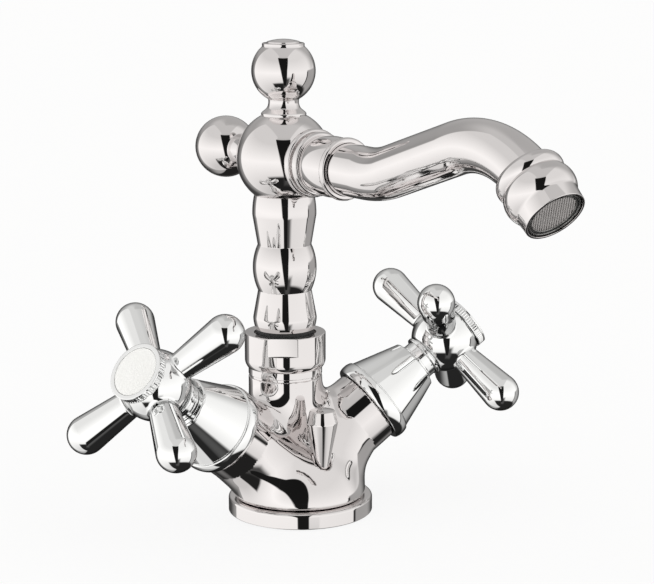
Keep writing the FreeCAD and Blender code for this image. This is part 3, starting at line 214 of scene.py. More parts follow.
def trace(corners: Sequence[Turn], closed: bool) -> tuple[Array, Array]:
    """Return the points and outward normals of a turned outline.

    Runs go from corner to corner, and each corner is a parabola between the two points that lie its soft
    length away on the runs.  A normal is the chord between a point's neighbours, turned to the outside.

    Args:
        corners: corners in order, with the solid on the left of the way along.
        closed: True where the last corner leads back to the first.

    Returns:
        Points (n, 2) as radius and height, and their normals (n, 2).
    """
    knots = np.array([(corner.radius, corner.height) for corner in corners])
    count = len(corners)
    softs = np.array([corner.soft for corner in corners])
    if not closed:
        softs[[0, -1]] = 0.0
    parts = []
    first = 0 if closed else 1
    runs = {}
    for index in range(first, count):
        run = arc_run(knots[index - 1], knots[index], corners[index].crown)
        reach = np.concatenate([[0.0], np.cumsum(np.linalg.norm(np.diff(run, axis=0), axis=1))])
        most = SOFT_SHARE * reach[-1]
        low = min(softs[index - 1], most)
        high = reach[-1] - min(softs[index], most)
        at = np.linspace(low, high, len(run))
        runs[index] = np.stack([np.interp(at, reach, run[:, 0]), np.interp(at, reach, run[:, 1])], 1)
    blend = np.linspace(0.0, 1.0, CORNER_POINTS)[1:-1, None]
    for index in range(first, count):
        parts.append(runs[index])
        after = runs.get((index + 1) % count) if closed or index + 1 < count else None
        if after is not None and softs[index] > 0:
            begin, finish = runs[index][-1], after[0]
            parts.append((1 - blend) ** 2 * begin + 2 * blend * (1 - blend) * knots[index]
                         + blend ** 2 * finish)
    points = np.concatenate(parts)
    step = np.linalg.norm(points - np.roll(points, 1, axis=0), axis=1)
    keep = step > NEAR
    keep[0] = keep[0] or not closed
    points = points[keep]
    if closed:
        chord = np.roll(points, -1, axis=0) - np.roll(points, 1, axis=0)
    else:
        chord = np.concatenate([points[1:2] - points[:1], points[2:] - points[:-2],
                                points[-1:] - points[-2:-1]])
    normals = np.stack([chord[:, 1], -chord[:, 0]], 1)
    normals /= np.maximum(np.linalg.norm(normals, axis=1, keepdims=True), TINY)
    return points, normals


def grid_faces(rows: int, columns: int, wrap: bool) -> Array:
    """Return the quads of a grid whose rows each close on themselves.

    Point (i, j) has the number i times the columns plus j, and a quad goes on to the next column and row.

    Args:
        rows: rows of points.
        columns: points in each row.
        wrap: True where the last row joins the first.

    Returns:
        Point numbers (n, 4).
    """
    row = np.arange(rows if wrap else rows - 1)[:, None]
    column = np.arange(columns)[None, :]
    above = (row + 1) % rows
    beside = (column + 1) % columns
    corners = [row * columns + column, row * columns + beside, above * columns + beside,
               above * columns + column]
    whole = [np.broadcast_to(corner, (len(row), columns)) for corner in corners]
    return np.stack(whole, -1).reshape(-1, 4)


def grid_normals(points: Array, wrap: bool) -> Array:
    """Return the normals of a grid, from the cross product of its differences round and along.

    Args:
        points: the grid (rows, columns, 3), whose rows each close on themselves.
        wrap: True where the last row joins the first.

    Returns:
        Unit normals (rows, columns, 3).
    """
    round_way = np.roll(points, -1, axis=1) - np.roll(points, 1, axis=1)
    if wrap:
        long_way = np.roll(points, -1, axis=0) - np.roll(points, 1, axis=0)
    else:
        long_way = np.gradient(points, axis=0)
    normals = np.cross(round_way, long_way)
    return normals / np.maximum(np.linalg.norm(normals, axis=-1, keepdims=True), TINY)


def lathe(corners: Sequence[Turn], closed: bool = False, around: int = 144,
          shape: Callable[[Array, Array, Array], Array] | None = None) -> Surface:
    """Return an outline carried round local Z: (r cos a, r sin a, h).

    An end of an open outline that lies on the axis becomes one pole.

    Args:
        corners: the outline.
        closed: True for an outline that closes on itself, as that of a ring.
        around: points in one turn.
        shape: gives the radius from (angle, radius, height), for flats and knurls.

    Returns:
        The surface.
    """
    outline, slope = trace(corners, closed)
    angle = np.linspace(0.0, 2 * math.pi, around, endpoint=False)
    radius = np.repeat(outline[:, :1], around, axis=1)
    height = np.repeat(outline[:, 1:], around, axis=1)
    if shape is not None:
        radius = shape(np.broadcast_to(angle, radius.shape), radius, height)
    rows = len(outline)
    points = np.stack([radius * np.cos(angle), radius * np.sin(angle), height], -1)
    if shape is None:
        normals = np.stack([slope[:, :1] * np.cos(angle), slope[:, :1] * np.sin(angle),
                            np.repeat(slope[:, 1:], around, axis=1)], -1)
    else:
        normals = grid_normals(points, closed)
    quads = grid_faces(rows, around, closed)
    tris = np.zeros((0, 3), int)
    ring = np.arange(around)
    beside = (ring + 1) % around
    drop = np.zeros(rows * around, bool)
    if not closed and outline[0, 0] < NEAR:
        quads = quads[around:]
        pole = np.zeros(around, int)
        tris = np.concatenate([tris, np.stack([pole, around + beside, around + ring], 1)])
        normals[0] = (0.0, 0.0, -1.0)
        drop[1:around] = True
    if not closed and outline[-1, 0] < NEAR:
        quads = quads[:-around]
        top = (rows - 1) * around
        pole = np.full(around, top)
        tris = np.concatenate([tris, np.stack([top - around + ring, top - around + beside, pole], 1)])
        normals[-1] = (0.0, 0.0, 1.0)
        drop[top + 1:] = True
    number = np.cumsum(~drop) - 1
    points, normals = points.reshape(-1, 3)[~drop], normals.reshape(-1, 3)[~drop]
    return Surface(points, normals, number[quads], number[tris])


def pipe(path: Array, radii: Array, wall: float, around: int = 112) -> Surface:
    """Return a tube of some wall along a path in the plane X = 0: c + r (cos a X + sin a N).

    N is the path's direction crossed with X.  The rows go out along the outside and back along the inside.

    Args:
        path: centre line (n, 3).
        radii: outer radius at each point of it.
        wall: thickness of the wall.
        around: points in one turn.

    Returns:
        The surface.
    """
    way = np.gradient(path, axis=0)
    way /= np.linalg.norm(way, axis=1, keepdims=True)
    side = np.array((1.0, 0.0, 0.0))
    rise = np.cross(way, side)
    angle = np.linspace(0.0, 2 * math.pi, around, endpoint=False)[None, :, None]
    ray = np.cos(angle) * side + np.sin(angle) * rise[:, None, :]
    outside = path[:, None, :] + radii[:, None, None] * ray
    inside = path[:, None, :] + (radii - wall)[:, None, None] * ray
    points = np.concatenate([outside, inside[::-1]])
    normals = np.concatenate([ray, -ray[::-1]])
    quads = grid_faces(len(points), around, True)
    corner = points[0, 0]
    facing = np.cross(points[0, 1] - corner, points[1, 0] - corner)
    if facing @ (corner - points[0].mean(0)) < 0:
        quads = quads[:, ::-1]
    return Surface(points.reshape(-1, 3), normals.reshape(-1, 3), quads)


def soft_min(first: Array, second: Array, blend: float) -> Array:
    """Return the smooth union of two distances, which differs from the lesser by at most blend / 4."""
    share = np.clip(0.5 + 0.5 * (second - first) / blend, 0.0, 1.0)
    return second + (first - second) * share - blend * share * (1 - share)


def soft_max(first: Array, second: Array, blend: float) -> Array:
    """Return the smooth intersection of two distances."""
    return -soft_min(-first, -second, blend)


def round_cone(points: Array, start: Array, end: Array, low: float, high: float) -> Array:
    """Return the distance to a straight taper between two balls of different radii.

    It is |p - c(t)| - r(t): t is the place along the axis, moved on by the taper's lean, and r(t) runs
    evenly from one radius to the other.

    Args:
        points: places (n, 3).
        start: centre of the first ball.
        end: centre of the second ball.
        low: radius of the first ball.
        high: radius of the second ball.

    Returns:
        Distances (n,).
    """
    way = end - start
    length = np.linalg.norm(way)
    way = way / length
    reach = (points - start) @ way
    off = np.sqrt(np.maximum(np.sum((points - start) ** 2, axis=1) - reach ** 2, 0.0))
    lean = (high - low) / length
    at = np.clip(reach + off * lean, 0.0, length)
    return np.hypot(reach - at, off) - (low + lean * at)


@dataclass
class CastSkin:
    """The zero surface of a distance field, meshed on a grid and then drawn onto the field."""

    distance: Field
    low: tuple[float, float, float]
    high: tuple[float, float, float]
    cell: float
    block: int = 4
    margin: float = 2.2
    passes: int = 4
    least_slope: float = 0.2

    def slope(self, points: Array, reach: float = 0.02) -> Array:
        """Return the field's gradient from differences to both sides."""
        offsets = np.eye(3) * reach
        return np.stack([self.distance(points + offset) - self.distance(points - offset)
                         for offset in offsets], 1) / (2 * reach)

    def sampled(self, axes: Sequence[Array]) -> Array:
        """Return the field on a grid, exact near the surface and only rough away from it.

        The first corner of each block of cells is measured and stands for the whole block.  Where that
        lies within the margin, counted in block lengths, every point of the block is then measured.

        Args:
            axes: the grid's places along X, Y and Z.

        Returns:
            Distances on the grid.
        """
        corners = np.stack(np.meshgrid(*[axis[::self.block] for axis in axes], indexing="ij"), -1)
        values = self.distance(corners.reshape(-1, 3)).reshape(corners.shape[:3])
        for number, axis in enumerate(axes):
            values = np.repeat(values, self.block, axis=number).take(np.arange(len(axis)), axis=number)
        near = np.abs(values) < self.margin * self.block * self.cell
        spots = np.stack([axis[index] for axis, index in zip(axes, np.nonzero(near))], 1)
        values[near] = self.distance(spots)
        return values

    def surface(self) -> Surface:
        """Return the skin as quads.

        Each cell that the surface passes through gets one point, the mean of where its edges cross the
        surface, and each crossed edge joins the four cells round it.  Newton steps along the gradient then
        bring the points onto the surface, and the gradient gives the normals.

        Returns:
            The surface.
        """
        axes = [np.arange(low, high + self.cell, self.cell) for low, high in zip(self.low, self.high)]
        grid = np.stack(np.meshgrid(*axes, indexing="ij"), -1)
        values = self.sampled(axes)
        cells = tuple(size - 1 for size in values.shape)
        total = np.zeros(cells + (3,))
        hits = np.zeros(cells)
        crossings = []
        for axis in range(3):
            low = [slice(None)] * 3
            high = [slice(None)] * 3
            low[axis], high[axis] = slice(None, -1), slice(1, None)
            start, end = values[tuple(low)], values[tuple(high)]
            crossed = (start < 0) != (end < 0)
            share = np.where(crossed, start / np.where(crossed, start - end, 1.0), 0.0)
            spot = grid[tuple(low)].copy()
            spot[..., axis] += share * self.cell
            second, third = (axis + 1) % 3, (axis + 2) % 3
            for shift in ((0, 0), (0, 1), (1, 0), (1, 1)):
                part = [slice(None)] * 3
                part[second] = slice(shift[0], cells[second] + shift[0])
                part[third] = slice(shift[1], cells[third] + shift[1])
                mark = crossed[tuple(part)]
                hits += mark
                total += spot[tuple(part)] * mark[..., None]
            crossings.append((crossed, start < 0))
        used = hits > 0
        number = np.cumsum(used.ravel()).reshape(cells) - 1
        points = total[used] / hits[used][:, None]
        quads = []
        for axis, (crossed, inward) in enumerate(crossings):
            second, third = (axis + 1) % 3, (axis + 2) % 3
            inner = [slice(None)] * 3
            inner[second], inner[third] = slice(1, -1), slice(1, -1)
            at = np.argwhere(crossed[tuple(inner)])
            flip = ~inward[tuple(inner)][tuple(at.T)]
            ring = []
            for shift in ((0, 0), (1, 0), (1, 1), (0, 1)):
                cell = at.copy()
                cell[:, second] += shift[0]
                cell[:, third] += shift[1]
                ring.append(number[tuple(cell.T)])
            faces = np.stack(ring, 1)
            faces[flip] = faces[flip, ::-1]
            quads.append(faces)
        slope = self.slope(points)
        slope /= np.maximum(np.sum(slope * slope, axis=1), self.least_slope)[:, None]
        for _ in range(self.passes):
            points = points - slope * self.distance(points)[:, None]
        normals = self.slope(points)
        normals /= np.maximum(np.linalg.norm(normals, axis=1, keepdims=True), TINY)
        return Surface(points, normals, np.concatenate(quads))


class Nodes:
    """A small helper that places and links shader nodes in one tree."""

    def __init__(self, tree: bpy.types.NodeTree) -> None:
        """Keep the tree."""
        self.tree = tree

    def add(self, kind: str, settings: dict[str, object] | None = None,
            inputs: dict[str | int, object] | None = None) -> bpy.types.Node:
        """Return a new node.

        Args:
            kind: the node's type name.
            settings: attributes to set.
            inputs: values, or sockets to link, by input name or number.

        Returns:
            The node.
        """
        node = self.tree.nodes.new(kind)
        for key, value in (settings or {}).items():
            setattr(node, key, value)
        for key, value in (inputs or {}).items():
            if isinstance(value, bpy.types.NodeSocket):
                self.tree.links.new(value, node.inputs[key])
            else:
                node.inputs[key].default_value = value
        return node

    def math(self, kind: str, *values: object) -> bpy.types.NodeSocket:
        """Return the output of a Math node."""
        return self.add("ShaderNodeMath", {"operation": kind}, dict(enumerate(values))).outputs[0]

    def span(self, value: object, source: tuple[object, object], target: tuple[object, object],
             smooth: bool = False) -> bpy.types.NodeSocket:
        """Return a value carried from one range to another, and held at its ends.

        Args:
            value: the socket or number.
            source: the range that it comes from.
            target: the range that it goes to.
            smooth: True where it eases in and out.

        Returns:
            The output socket.
        """
        kind = "SMOOTHSTEP" if smooth else "LINEAR"
        node = self.add("ShaderNodeMapRange", {"interpolation_type": kind},
                        {0: value, 1: source[0], 2: source[1], 3: target[0], 4: target[1]})
        return node.outputs[0]

    def mix(self, share: object, first: object, second: object) -> bpy.types.NodeSocket:
        """Return a mix of two colours."""
        node = self.add("ShaderNodeMix", {"data_type": "RGBA"}, {0: share, 6: first, 7: second})
        return node.outputs[2]

    def blend(self, share: object, first: object, second: object) -> bpy.types.NodeSocket:
        """Return a mix of two values."""
        node = self.add("ShaderNodeMix", {"data_type": "FLOAT"}, {0: share, 2: first, 3: second})
        return node.outputs[0]


def node_group(name: str, inputs: dict[str, tuple[str, float]], outputs: dict[str, str]) -> Nodes:
    """Return a new shader node group with named sockets.

    Args:
        name: the group's name.
        inputs: socket type and default by name.
        outputs: socket type by name.

    Returns:
        The group's nodes; its first two are the group's input and output.
    """
    tree = bpy.data.node_groups.new(name, "ShaderNodeTree")
    for label, (kind, default) in inputs.items():
        socket = tree.interface.new_socket(label, in_out="INPUT", socket_type=kind)
        if kind == "NodeSocketFloat":
            socket.default_value = default
    for label, kind in outputs.items():
        tree.interface.new_socket(label, in_out="OUTPUT", socket_type=kind)
    nodes = Nodes(tree)
    nodes.add("NodeGroupInput")
    nodes.add("NodeGroupOutput")
    return nodes


def polish_group() -> bpy.types.NodeTree:
    """Return the group that varies a polished or moulded surface.

    Cloud is broad unevenness, Wipe the fine stretched marks of a cloth, and Specks a few dried spots.

    Returns:
        The node group.
    """
    scales = {"Cloud scale": 40.0, "Wipe scale": 300.0, "Speck scale": 220.0}
    wipe_turn, wipe_stretch = (0.5, 0.3, 0.9), (1.0, 0.12, 0.35)
    speck_edge, speck_rarity = (0.10, 0.24), 0.86
    nodes = node_group("SurfaceWear",
                       {"Coordinates": ("NodeSocketVector", 0.0),
                        **{name: ("NodeSocketFloat", scale) for name, scale in scales.items()}},
                       {name: "NodeSocketFloat" for name in ("Cloud", "Wipe", "Specks")})
    source, target = nodes.tree.nodes[0].outputs, nodes.tree.nodes[1].inputs
    place = source["Coordinates"]
    cloud = nodes.add("ShaderNodeTexNoise", None,
                      {"Vector": place, "Scale": source["Cloud scale"], "Detail": 4.0, "Roughness": 0.55})
    stretch = nodes.add("ShaderNodeMapping", None,
                        {"Vector": place, "Rotation": wipe_turn, "Scale": wipe_stretch})
    wipe = nodes.add("ShaderNodeTexNoise", None,
                     {"Vector": stretch.outputs[0], "Scale": source["Wipe scale"], "Detail": 3.0})
    cells = nodes.add("ShaderNodeTexVoronoi", None, {"Vector": place, "Scale": source["Speck scale"]})
    near = nodes.span(cells.outputs["Distance"], speck_edge, (1.0, 0.0), True)
    rare = nodes.math("GREATER_THAN", cells.outputs["Color"], speck_rarity)
    link = nodes.tree.links.new
    link(cloud.outputs["Fac"], target["Cloud"])
    link(wipe.outputs["Fac"], target["Wipe"])
    link(nodes.math("MULTIPLY", near, rare), target["Specks"])
    return nodes.tree


@dataclass(frozen=True)
class Finish:
    """One surface finish, made into a material with its own wear."""

    name: str
    colour: tuple[float, float, float]
    tint: tuple[float, float, float]
    metallic: float
    roughness: tuple[float, float]
    cloud_scale: float = 40.0
    wipe_scale: float = 300.0
    speck_scale: float = 220.0
    speck_roughness: float = 0.0
    grain: float = 0.0
    coat: float = 0.0
    lines: float = 0.0
    # rim: how strongly a dark edge of painted shade is mixed into the colour where the surface turns away
    rim: float = 0.0
    cloud_range: tuple[float, float] = (0.3, 0.7)
    wipe_range: tuple[float, float] = (0.35, 0.7)
    rim_range: tuple[float, float] = (0.5, 0.82)
    rim_colour: tuple[float, float, float] = (0.03, 0.03, 0.03)
    coat_roughness: float = 0.04
    grain_scale: float = 1800.0
    line_scale: float = 900.0
    bump_strength: float = 0.25
    bump_depth: float = 0.00004

    def material(self, wear: bpy.types.NodeTree) -> bpy.types.Material:
        """Return the material.

        The colour runs between two close tones with the cloud, and the roughness between its two values
        with the wipe marks, higher on the specks.  Grain is a fine bump, and lines are turning marks.
        Rim is how far the colour falls towards its painted rim shade colour where the surface turns away:
        painted shade along the outlines.

        Args:
            wear: the shared group of surface variation.

        Returns:
            A material with one Principled shader.
        """
        made = bpy.data.materials.new(self.name)
        made.use_nodes = True
        nodes = Nodes(made.node_tree)
        shader = made.node_tree.nodes["Principled BSDF"]
        place = nodes.add("ShaderNodeTexCoord").outputs["Object"]
        masks = nodes.add("ShaderNodeGroup", {"node_tree": wear},
                          {"Coordinates": place, "Cloud scale": self.cloud_scale,
                           "Wipe scale": self.wipe_scale, "Speck scale": self.speck_scale}).outputs
        tone = nodes.mix(nodes.span(masks["Cloud"], self.cloud_range, (0.0, 1.0)),
                         (*self.colour, 1.0), (*self.tint, 1.0))
        # Painted shade: the colour falls towards a near-black colour where the surface turns away from the
        # view, standing in for dark reflections at the outlines
        if self.rim > 0:
            facing = nodes.add("ShaderNodeLayerWeight", None, {"Blend": 0.5}).outputs["Facing"]
            share = nodes.span(facing, self.rim_range, (0.0, self.rim), True)
            tone = nodes.mix(share, tone, (*self.rim_colour, 1.0))
        rough = nodes.span(masks["Wipe"], self.wipe_range, self.roughness)
        rough = nodes.math("ADD", rough, nodes.math("MULTIPLY", masks["Specks"], self.speck_roughness))
        link = made.node_tree.links.new
        link(tone, shader.inputs["Base Color"])
        link(rough, shader.inputs["Roughness"])
        shader.inputs["Metallic"].default_value = self.metallic
        shader.inputs["Coat Weight"].default_value = self.coat
        shader.inputs["Coat Roughness"].default_value = self.coat_roughness
        if self.grain > 0 or self.lines > 0:
            fine = nodes.add("ShaderNodeTexNoise", None,
                             {"Vector": place, "Scale": self.grain_scale, "Detail": 2.0})
            height = nodes.math("MULTIPLY", fine.outputs["Fac"], self.grain)
            if self.lines > 0:
                wave = nodes.add("ShaderNodeTexWave", {"wave_type": "RINGS", "rings_direction": "Z"},
                                 {"Vector": place, "Scale": self.line_scale, "Distortion": 1.5})
                marks = nodes.math("MULTIPLY", wave.outputs["Fac"], self.lines)
                height = nodes.math("ADD", height, marks)
            bump = nodes.add("ShaderNodeBump", None, {"Strength": self.bump_strength,
                                                      "Distance": self.bump_depth, "Height": height})
            link(bump.outputs[0], shader.inputs["Normal"])
        return made


# This chrome has shade painted into its colour: it darkens to near black at its outlines
RIM_SHADED_CHROME = Finish("bright_chrome", (0.985, 0.99, 0.985), (0.95, 0.955, 0.955), 1.0, (0.01, 0.03),
                       38.0, 160.0, 260.0, 0.05, rim=0.9)
GREY_SCREEN = Finish("grey_screen", (0.42, 0.40, 0.395), (0.38, 0.365, 0.36), 0.0, (0.35, 0.5),
                     80.0, 500.0, 400.0, 0.05)
FINISHES: dict[Slot, Finish] = {
    Slot.CHROME: Finish("mirror_chrome", (0.81, 0.782, 0.777), (0.775, 0.748, 0.743), 1.0, (0.012, 0.035),
                        38.0, 160.0, 260.0, 0.05),
    Slot.PORCELAIN: Finish("glazed_porcelain", (0.88, 0.88, 0.865), (0.84, 0.84, 0.82), 0.0, (0.12, 0.2),
                           60.0, 250.0, 500.0, 0.05, 0.15, 0.6),
    Slot.CERAMIC: Finish("lapped_ceramic", (0.78, 0.75, 0.68), (0.72, 0.69, 0.62), 0.0, (0.22, 0.32),
                         80.0, 400.0, 500.0, 0.05, 0.3),
    Slot.BRASS: Finish("turned_brass_bare", (0.70, 0.52, 0.25), (0.62, 0.45, 0.2), 1.0, (0.2, 0.34),
                       60.0, 500.0, 300.0, 0.08, 0.2, 0.0, 0.5),
    Slot.STEEL: Finish("stainless_steel", (0.55, 0.55, 0.54), (0.48, 0.48, 0.47), 1.0, (0.2, 0.33),
                       70.0, 700.0, 300.0, 0.05, 0.2),
    Slot.RUBBER: Finish("black_rubber", (0.025, 0.025, 0.026), (0.04, 0.04, 0.04), 0.0, (0.55, 0.75),
                        90.0, 400.0, 400.0, 0.1, 0.8),
    Slot.PLASTIC: Finish("pale_plastic", (0.62, 0.62, 0.6), (0.57, 0.57, 0.55), 0.0, (0.36, 0.5),
                         80.0, 350.0, 400.0, 0.08, 0.6),
}


class Workbench:
    """Puts surfaces into the scene as pieces, with their finish, body and CAD node."""

    def __init__(self, frame: dict[str, object]) -> None:
        """Give each CAD node the finish of its slot.

        Args:
            frame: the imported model, as it was loaded.
        """
        self.wear = polish_group()
        self.materials: dict[str, bpy.types.Material] = {}
        for part in frame["record"]["subparts"]:
            mesh = frame["nodes"][part["node"]].data
            mesh.materials.clear()
            mesh.materials.append(self.material(FINISHES[Slot(part["material_slot"])]))

    def material(self, finish: Finish) -> bpy.types.Material:
        """Return a finish's material, made when it is first asked for."""
        if finish.name not in self.materials:
            self.materials[finish.name] = finish.material(self.wear)
        return self.materials[finish.name]

    def piece(self, name: str, surface: Surface, body: str, slot: Slot, stands_for: Sequence[str] = (),
              finish: Finish | None = None) -> bpy.types.Object:
        """Make one piece from a surface in the frame's axes.

        Args:
            name: the piece's name.
            surface: its mesh, in millimetres.
            body: the CAD body that it rides on.
            slot: the material slot that it belongs to.
            stands_for: CAD nodes that it replaces.
            finish: its own finish, where that differs from the slot's.

        Returns:
            The new object.
        """
        mesh = bpy.data.meshes.new(name)
        corners = np.concatenate([surface.quads.ravel(), surface.tris.ravel()]).astype(np.int32)
        sizes = np.concatenate([np.full(len(surface.quads), 4), np.full(len(surface.tris), 3)])
        starts = np.concatenate([[0], np.cumsum(sizes)[:-1]])
        mesh.vertices.add(len(surface.points))
        mesh.vertices.foreach_set("co", (surface.points * MM).astype(np.float32).ravel())
        mesh.loops.add(len(corners))
        mesh.loops.foreach_set("vertex_index", corners)
        mesh.polygons.add(len(sizes))
        mesh.polygons.foreach_set("loop_start", starts.astype(np.int32))
        mesh.polygons.foreach_set("use_smooth", np.ones(len(sizes), bool))
        mesh.update(calc_edges=True)
        mesh.validate()
        mesh.normals_split_custom_set_from_vertices(surface.normals.tolist())
        mesh.materials.append(self.material(finish or FINISHES[slot]))
        item = bpy.data.objects.new(name, mesh)
        bpy.context.scene.collection.objects.link(item)
        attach(item, body)
        if stands_for:
            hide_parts(*stands_for)
        LOG.info("%s: %d faces on %s", name, len(sizes), body)
        return item


@dataclass
class Base:
    """Base ring under the body."""

    outer: float = 25.0
    bore: float = 18.9
    height: float = 5.6
    lift: float = 0.2
    edge: float = 1.1
    gasket_outer: float = 23.4
    gasket_inner: float = 20.4
    gasket_height: float = 1.7

    def build(self, bench: Workbench) -> None:
        """Turn the ring, with a soft upper rim and the gasket's groove below.

        Args:
            bench: where the piece goes.
        """
        low, top = self.lift, self.height
        ring = lathe([
            Turn(self.bore, low),
            Turn(self.gasket_inner, low), Turn(self.gasket_inner, self.gasket_height),
            Turn(self.gasket_outer, self.gasket_height), Turn(self.gasket_outer, low),
            Turn(self.outer, low, 0.35),
            Turn(self.outer, top, self.edge),
            Turn(self.bore, top, 0.1),
        ], closed=True, around=224)
        bench.piece("base_flange", ring, "base", Slot.CHROME, ["base_ring"])


@dataclass
class Valves:
    """Where the two valve axes lie."""

    origin: tuple[float, float, float] = (0.0, 9.0, 9.7)
    rise: float = 35.8
    sweep: float = 12.7
    handle_phase: float = 42.0

    def axis(self, side: Side) -> Array:
        """Return a valve's direction, out of the body."""
        rise, sweep = math.radians(self.rise), math.radians(self.sweep)
        return np.array((side.value * math.cos(rise) * math.cos(sweep), -math.cos(rise) * math.sin(sweep),
                         math.sin(rise)))

    def place(self, side: Side, reach: float = 0.0, spin: float = 0.0) -> Place:
        """Return the place on a valve's axis at a reach from the body's centre."""
        return Place.turned(np.array(self.origin) + reach * self.axis(side), self.axis(side), spin)


@dataclass(frozen=True)
class Hole:
    """A round hole in the body's underside: its place, its radius and the height of its end."""

    x: float
    y: float
    radius: float
    end: float

    def distance(self, points: Array) -> Array:
        """Return the distance to the hole's space."""
        off = np.hypot(points[:, 0] - self.x, points[:, 1] - self.y) - self.radius
        return np.maximum(off, points[:, 2] - self.end)


@dataclass
class Body:
    """Cast body: two arms swept through a saddle, a foot and a neck, all run together.

    A pull is the length of the spine's tangent at that end, a blend is the length over which two forms run
    together, and an edge is the length over which a cut is rounded.
    """

    valves: Valves
    cell: float = 0.6
    spine_steps: int = 49
    batch: int = 60000
    setback: float = 9.0
    base_height: float = 5.6
    foot_edge: float = 1.6
    spigot_radius: float = 18.8
    arm_face: float = 38.45
    arm_face_edge: float = 0.3
    arm_overrun: float = 8.0
    arm_radius: float = 13.4
    root_reach: float = 29.0
    root_radius: float = 13.7
    saddle: tuple[float, float, float] = (0.0, 0.2, 9.2)
    saddle_radius: float = 14.6
    saddle_depth: float = 1.2
    saddle_pull: float = 18.0
    root_pull: float = 20.0
    foot_centre: tuple[float, float, float] = (0.0, -2.0, 5.6)
    foot_radii: tuple[float, float, float] = (21.3, 19.6, 12.0)
    foot_gap: float = 0.03
    neck_radius: float = 12.8
    neck_top: float = 46.3
    neck_edge: float = 0.25
    neck_lap: float = 2.0
    groove_depth: float = 0.45
    groove_width: float = 0.8
    neck_end: float = 56.0
    spigot_bore: float = 8.3
    arm_blend: float = 5.0
    foot_blend: float = 7.0
    neck_blend: float = 9.0
    inlets: tuple[Hole, Hole] = (Hole(12.0, 3.0, 4.5, 13.0), Hole(-12.0, 3.0, 4.5, 13.0))
    stud: Hole = Hole(0.0, 13.0, 3.4, 14.0)
    guide: Hole = Hole(0.0, -13.54, 3.0, 16.8)
    hole_edge: float = 0.25
    recess_radius: float = 2.35
    recess_floor: float = 16.6
    recess_taper: float = 0.2
    recess_edge: float = 0.8
    box_low: tuple[float, float, float] = (-45.0, -25.0, -1.4)
    box_high: tuple[float, float, float] = (45.0, 31.0, 49.0)

    def arm(self, points: Array, side: Side) -> Array:
        """Return the distance to one arm.

        The arm's spine is a cubic from the saddle, where it runs along X, to the arm's root, where it
        takes up the valve's axis; from there it is straight.  The radius falls along it, and the section
        is deeper than high at the saddle.  The distance is the least over the spine's steps, with a
        parabola through the three steps round the least one.

        Args:
            points: places (n, 3).
            side: which arm.

        Returns:
            Distances (n,).
        """
        axis = self.valves.axis(side)
        origin = np.array(self.valves.origin)
        start = np.array(self.saddle)
        end = origin + axis * self.root_reach
        pull = np.array((side.value * self.saddle_pull, 0.0, 0.0))
        push = axis * self.root_pull
        cubic = np.stack([start, pull, 3 * (end - start) - 2 * pull - push,
                          2 * (start - end) + pull + push])
        share = np.linspace(0.0, 1.0, self.spine_steps)
        spots = np.stack([share ** power for power in range(4)], 1) @ cubic
        ease = share * share * (3 - 2 * share)
        radius = self.saddle_radius + (self.root_radius - self.saddle_radius) * ease
        weight = np.ones_like(spots)
        weight[:, 1] = (self.saddle_depth + (1.0 - self.saddle_depth) * ease) ** -2
        level = np.sum(weight * spots ** 2, 1)
        curved = np.empty(len(points))
        for begin in range(0, len(points), self.batch):
            part = points[begin:begin + self.batch]
            square = part ** 2 @ weight.T - 2 * part @ (weight * spots).T + level
            gap = np.sqrt(np.maximum(square, 0.0)) - radius
            best = np.clip(np.argmin(gap, axis=1), 1, self.spine_steps - 2)[:, None]
            low, mid, high = [np.take_along_axis(gap, best + step, 1)[:, 0] for step in (-1, 0, 1)]
            bend = np.maximum(low - 2 * mid + high, TINY)
            shift = np.clip((low - high) / (2 * bend), -1.0, 1.0)
            curved[begin:begin + self.batch] = mid + shift * (high - low) / 2 + shift ** 2 * bend / 2
        tip = origin + axis * (self.arm_face + self.arm_overrun)
        straight = round_cone(points, end, tip, self.root_radius, self.arm_radius)
        reach = (points - origin) @ axis
        return soft_max(np.minimum(curved, straight), reach - self.arm_face, self.arm_face_edge)

    def distance(self, points: Array) -> Array:
        """Return the distance to the whole casting, its holes cut in.

        The foot is the upper half of an ellipsoid, drawn out downwards, by |p/r| (|p/r| - 1) / |p/r^2|.
        Forms are joined by the smooth union and cut by the smooth intersection.

        Args:
            points: places (n, 3).

        Returns:
            Distances (n,).
        """
        hot, cold = self.arm(points, Side.HOT), self.arm(points, Side.COLD)
        solid = soft_min(hot, cold, self.arm_blend)
        local = points - np.array(self.foot_centre)
        local[:, 2] = np.maximum(local[:, 2], 0.0)
        radii = np.array(self.foot_radii)
        first = np.linalg.norm(local / radii, axis=1)
        second = np.maximum(np.linalg.norm(local / radii ** 2, axis=1), NEAR)
        solid = soft_min(solid, first * (first - 1.0) / second, self.foot_blend)
        wide = np.hypot(points[:, 0], points[:, 1] - self.setback)
        neck = soft_max(wide - self.neck_radius, points[:, 2] - self.neck_top, self.neck_edge)
        solid = soft_min(solid, neck, self.neck_blend)
        solid = soft_max(solid, self.base_height + self.foot_gap - points[:, 2], self.foot_edge)
        spigot = np.maximum(np.hypot(points[:, 0], points[:, 1]) - self.spigot_radius,
                            np.abs(points[:, 2] - self.base_height / 2) - self.base_height / 2)
        solid = np.minimum(solid, spigot)
        for hole in (*self.inlets, self.stud, self.guide):
            solid = soft_max(solid, -hole.distance(points), self.hole_edge)
        rise = points[:, 2] - self.recess_floor
        pit = np.hypot(points[:, 0] - self.guide.x, points[:, 1] - self.guide.y) - self.recess_radius
        pit = np.maximum(pit - self.recess_taper * rise, -rise)
        return soft_max(solid, -pit, self.recess_edge)

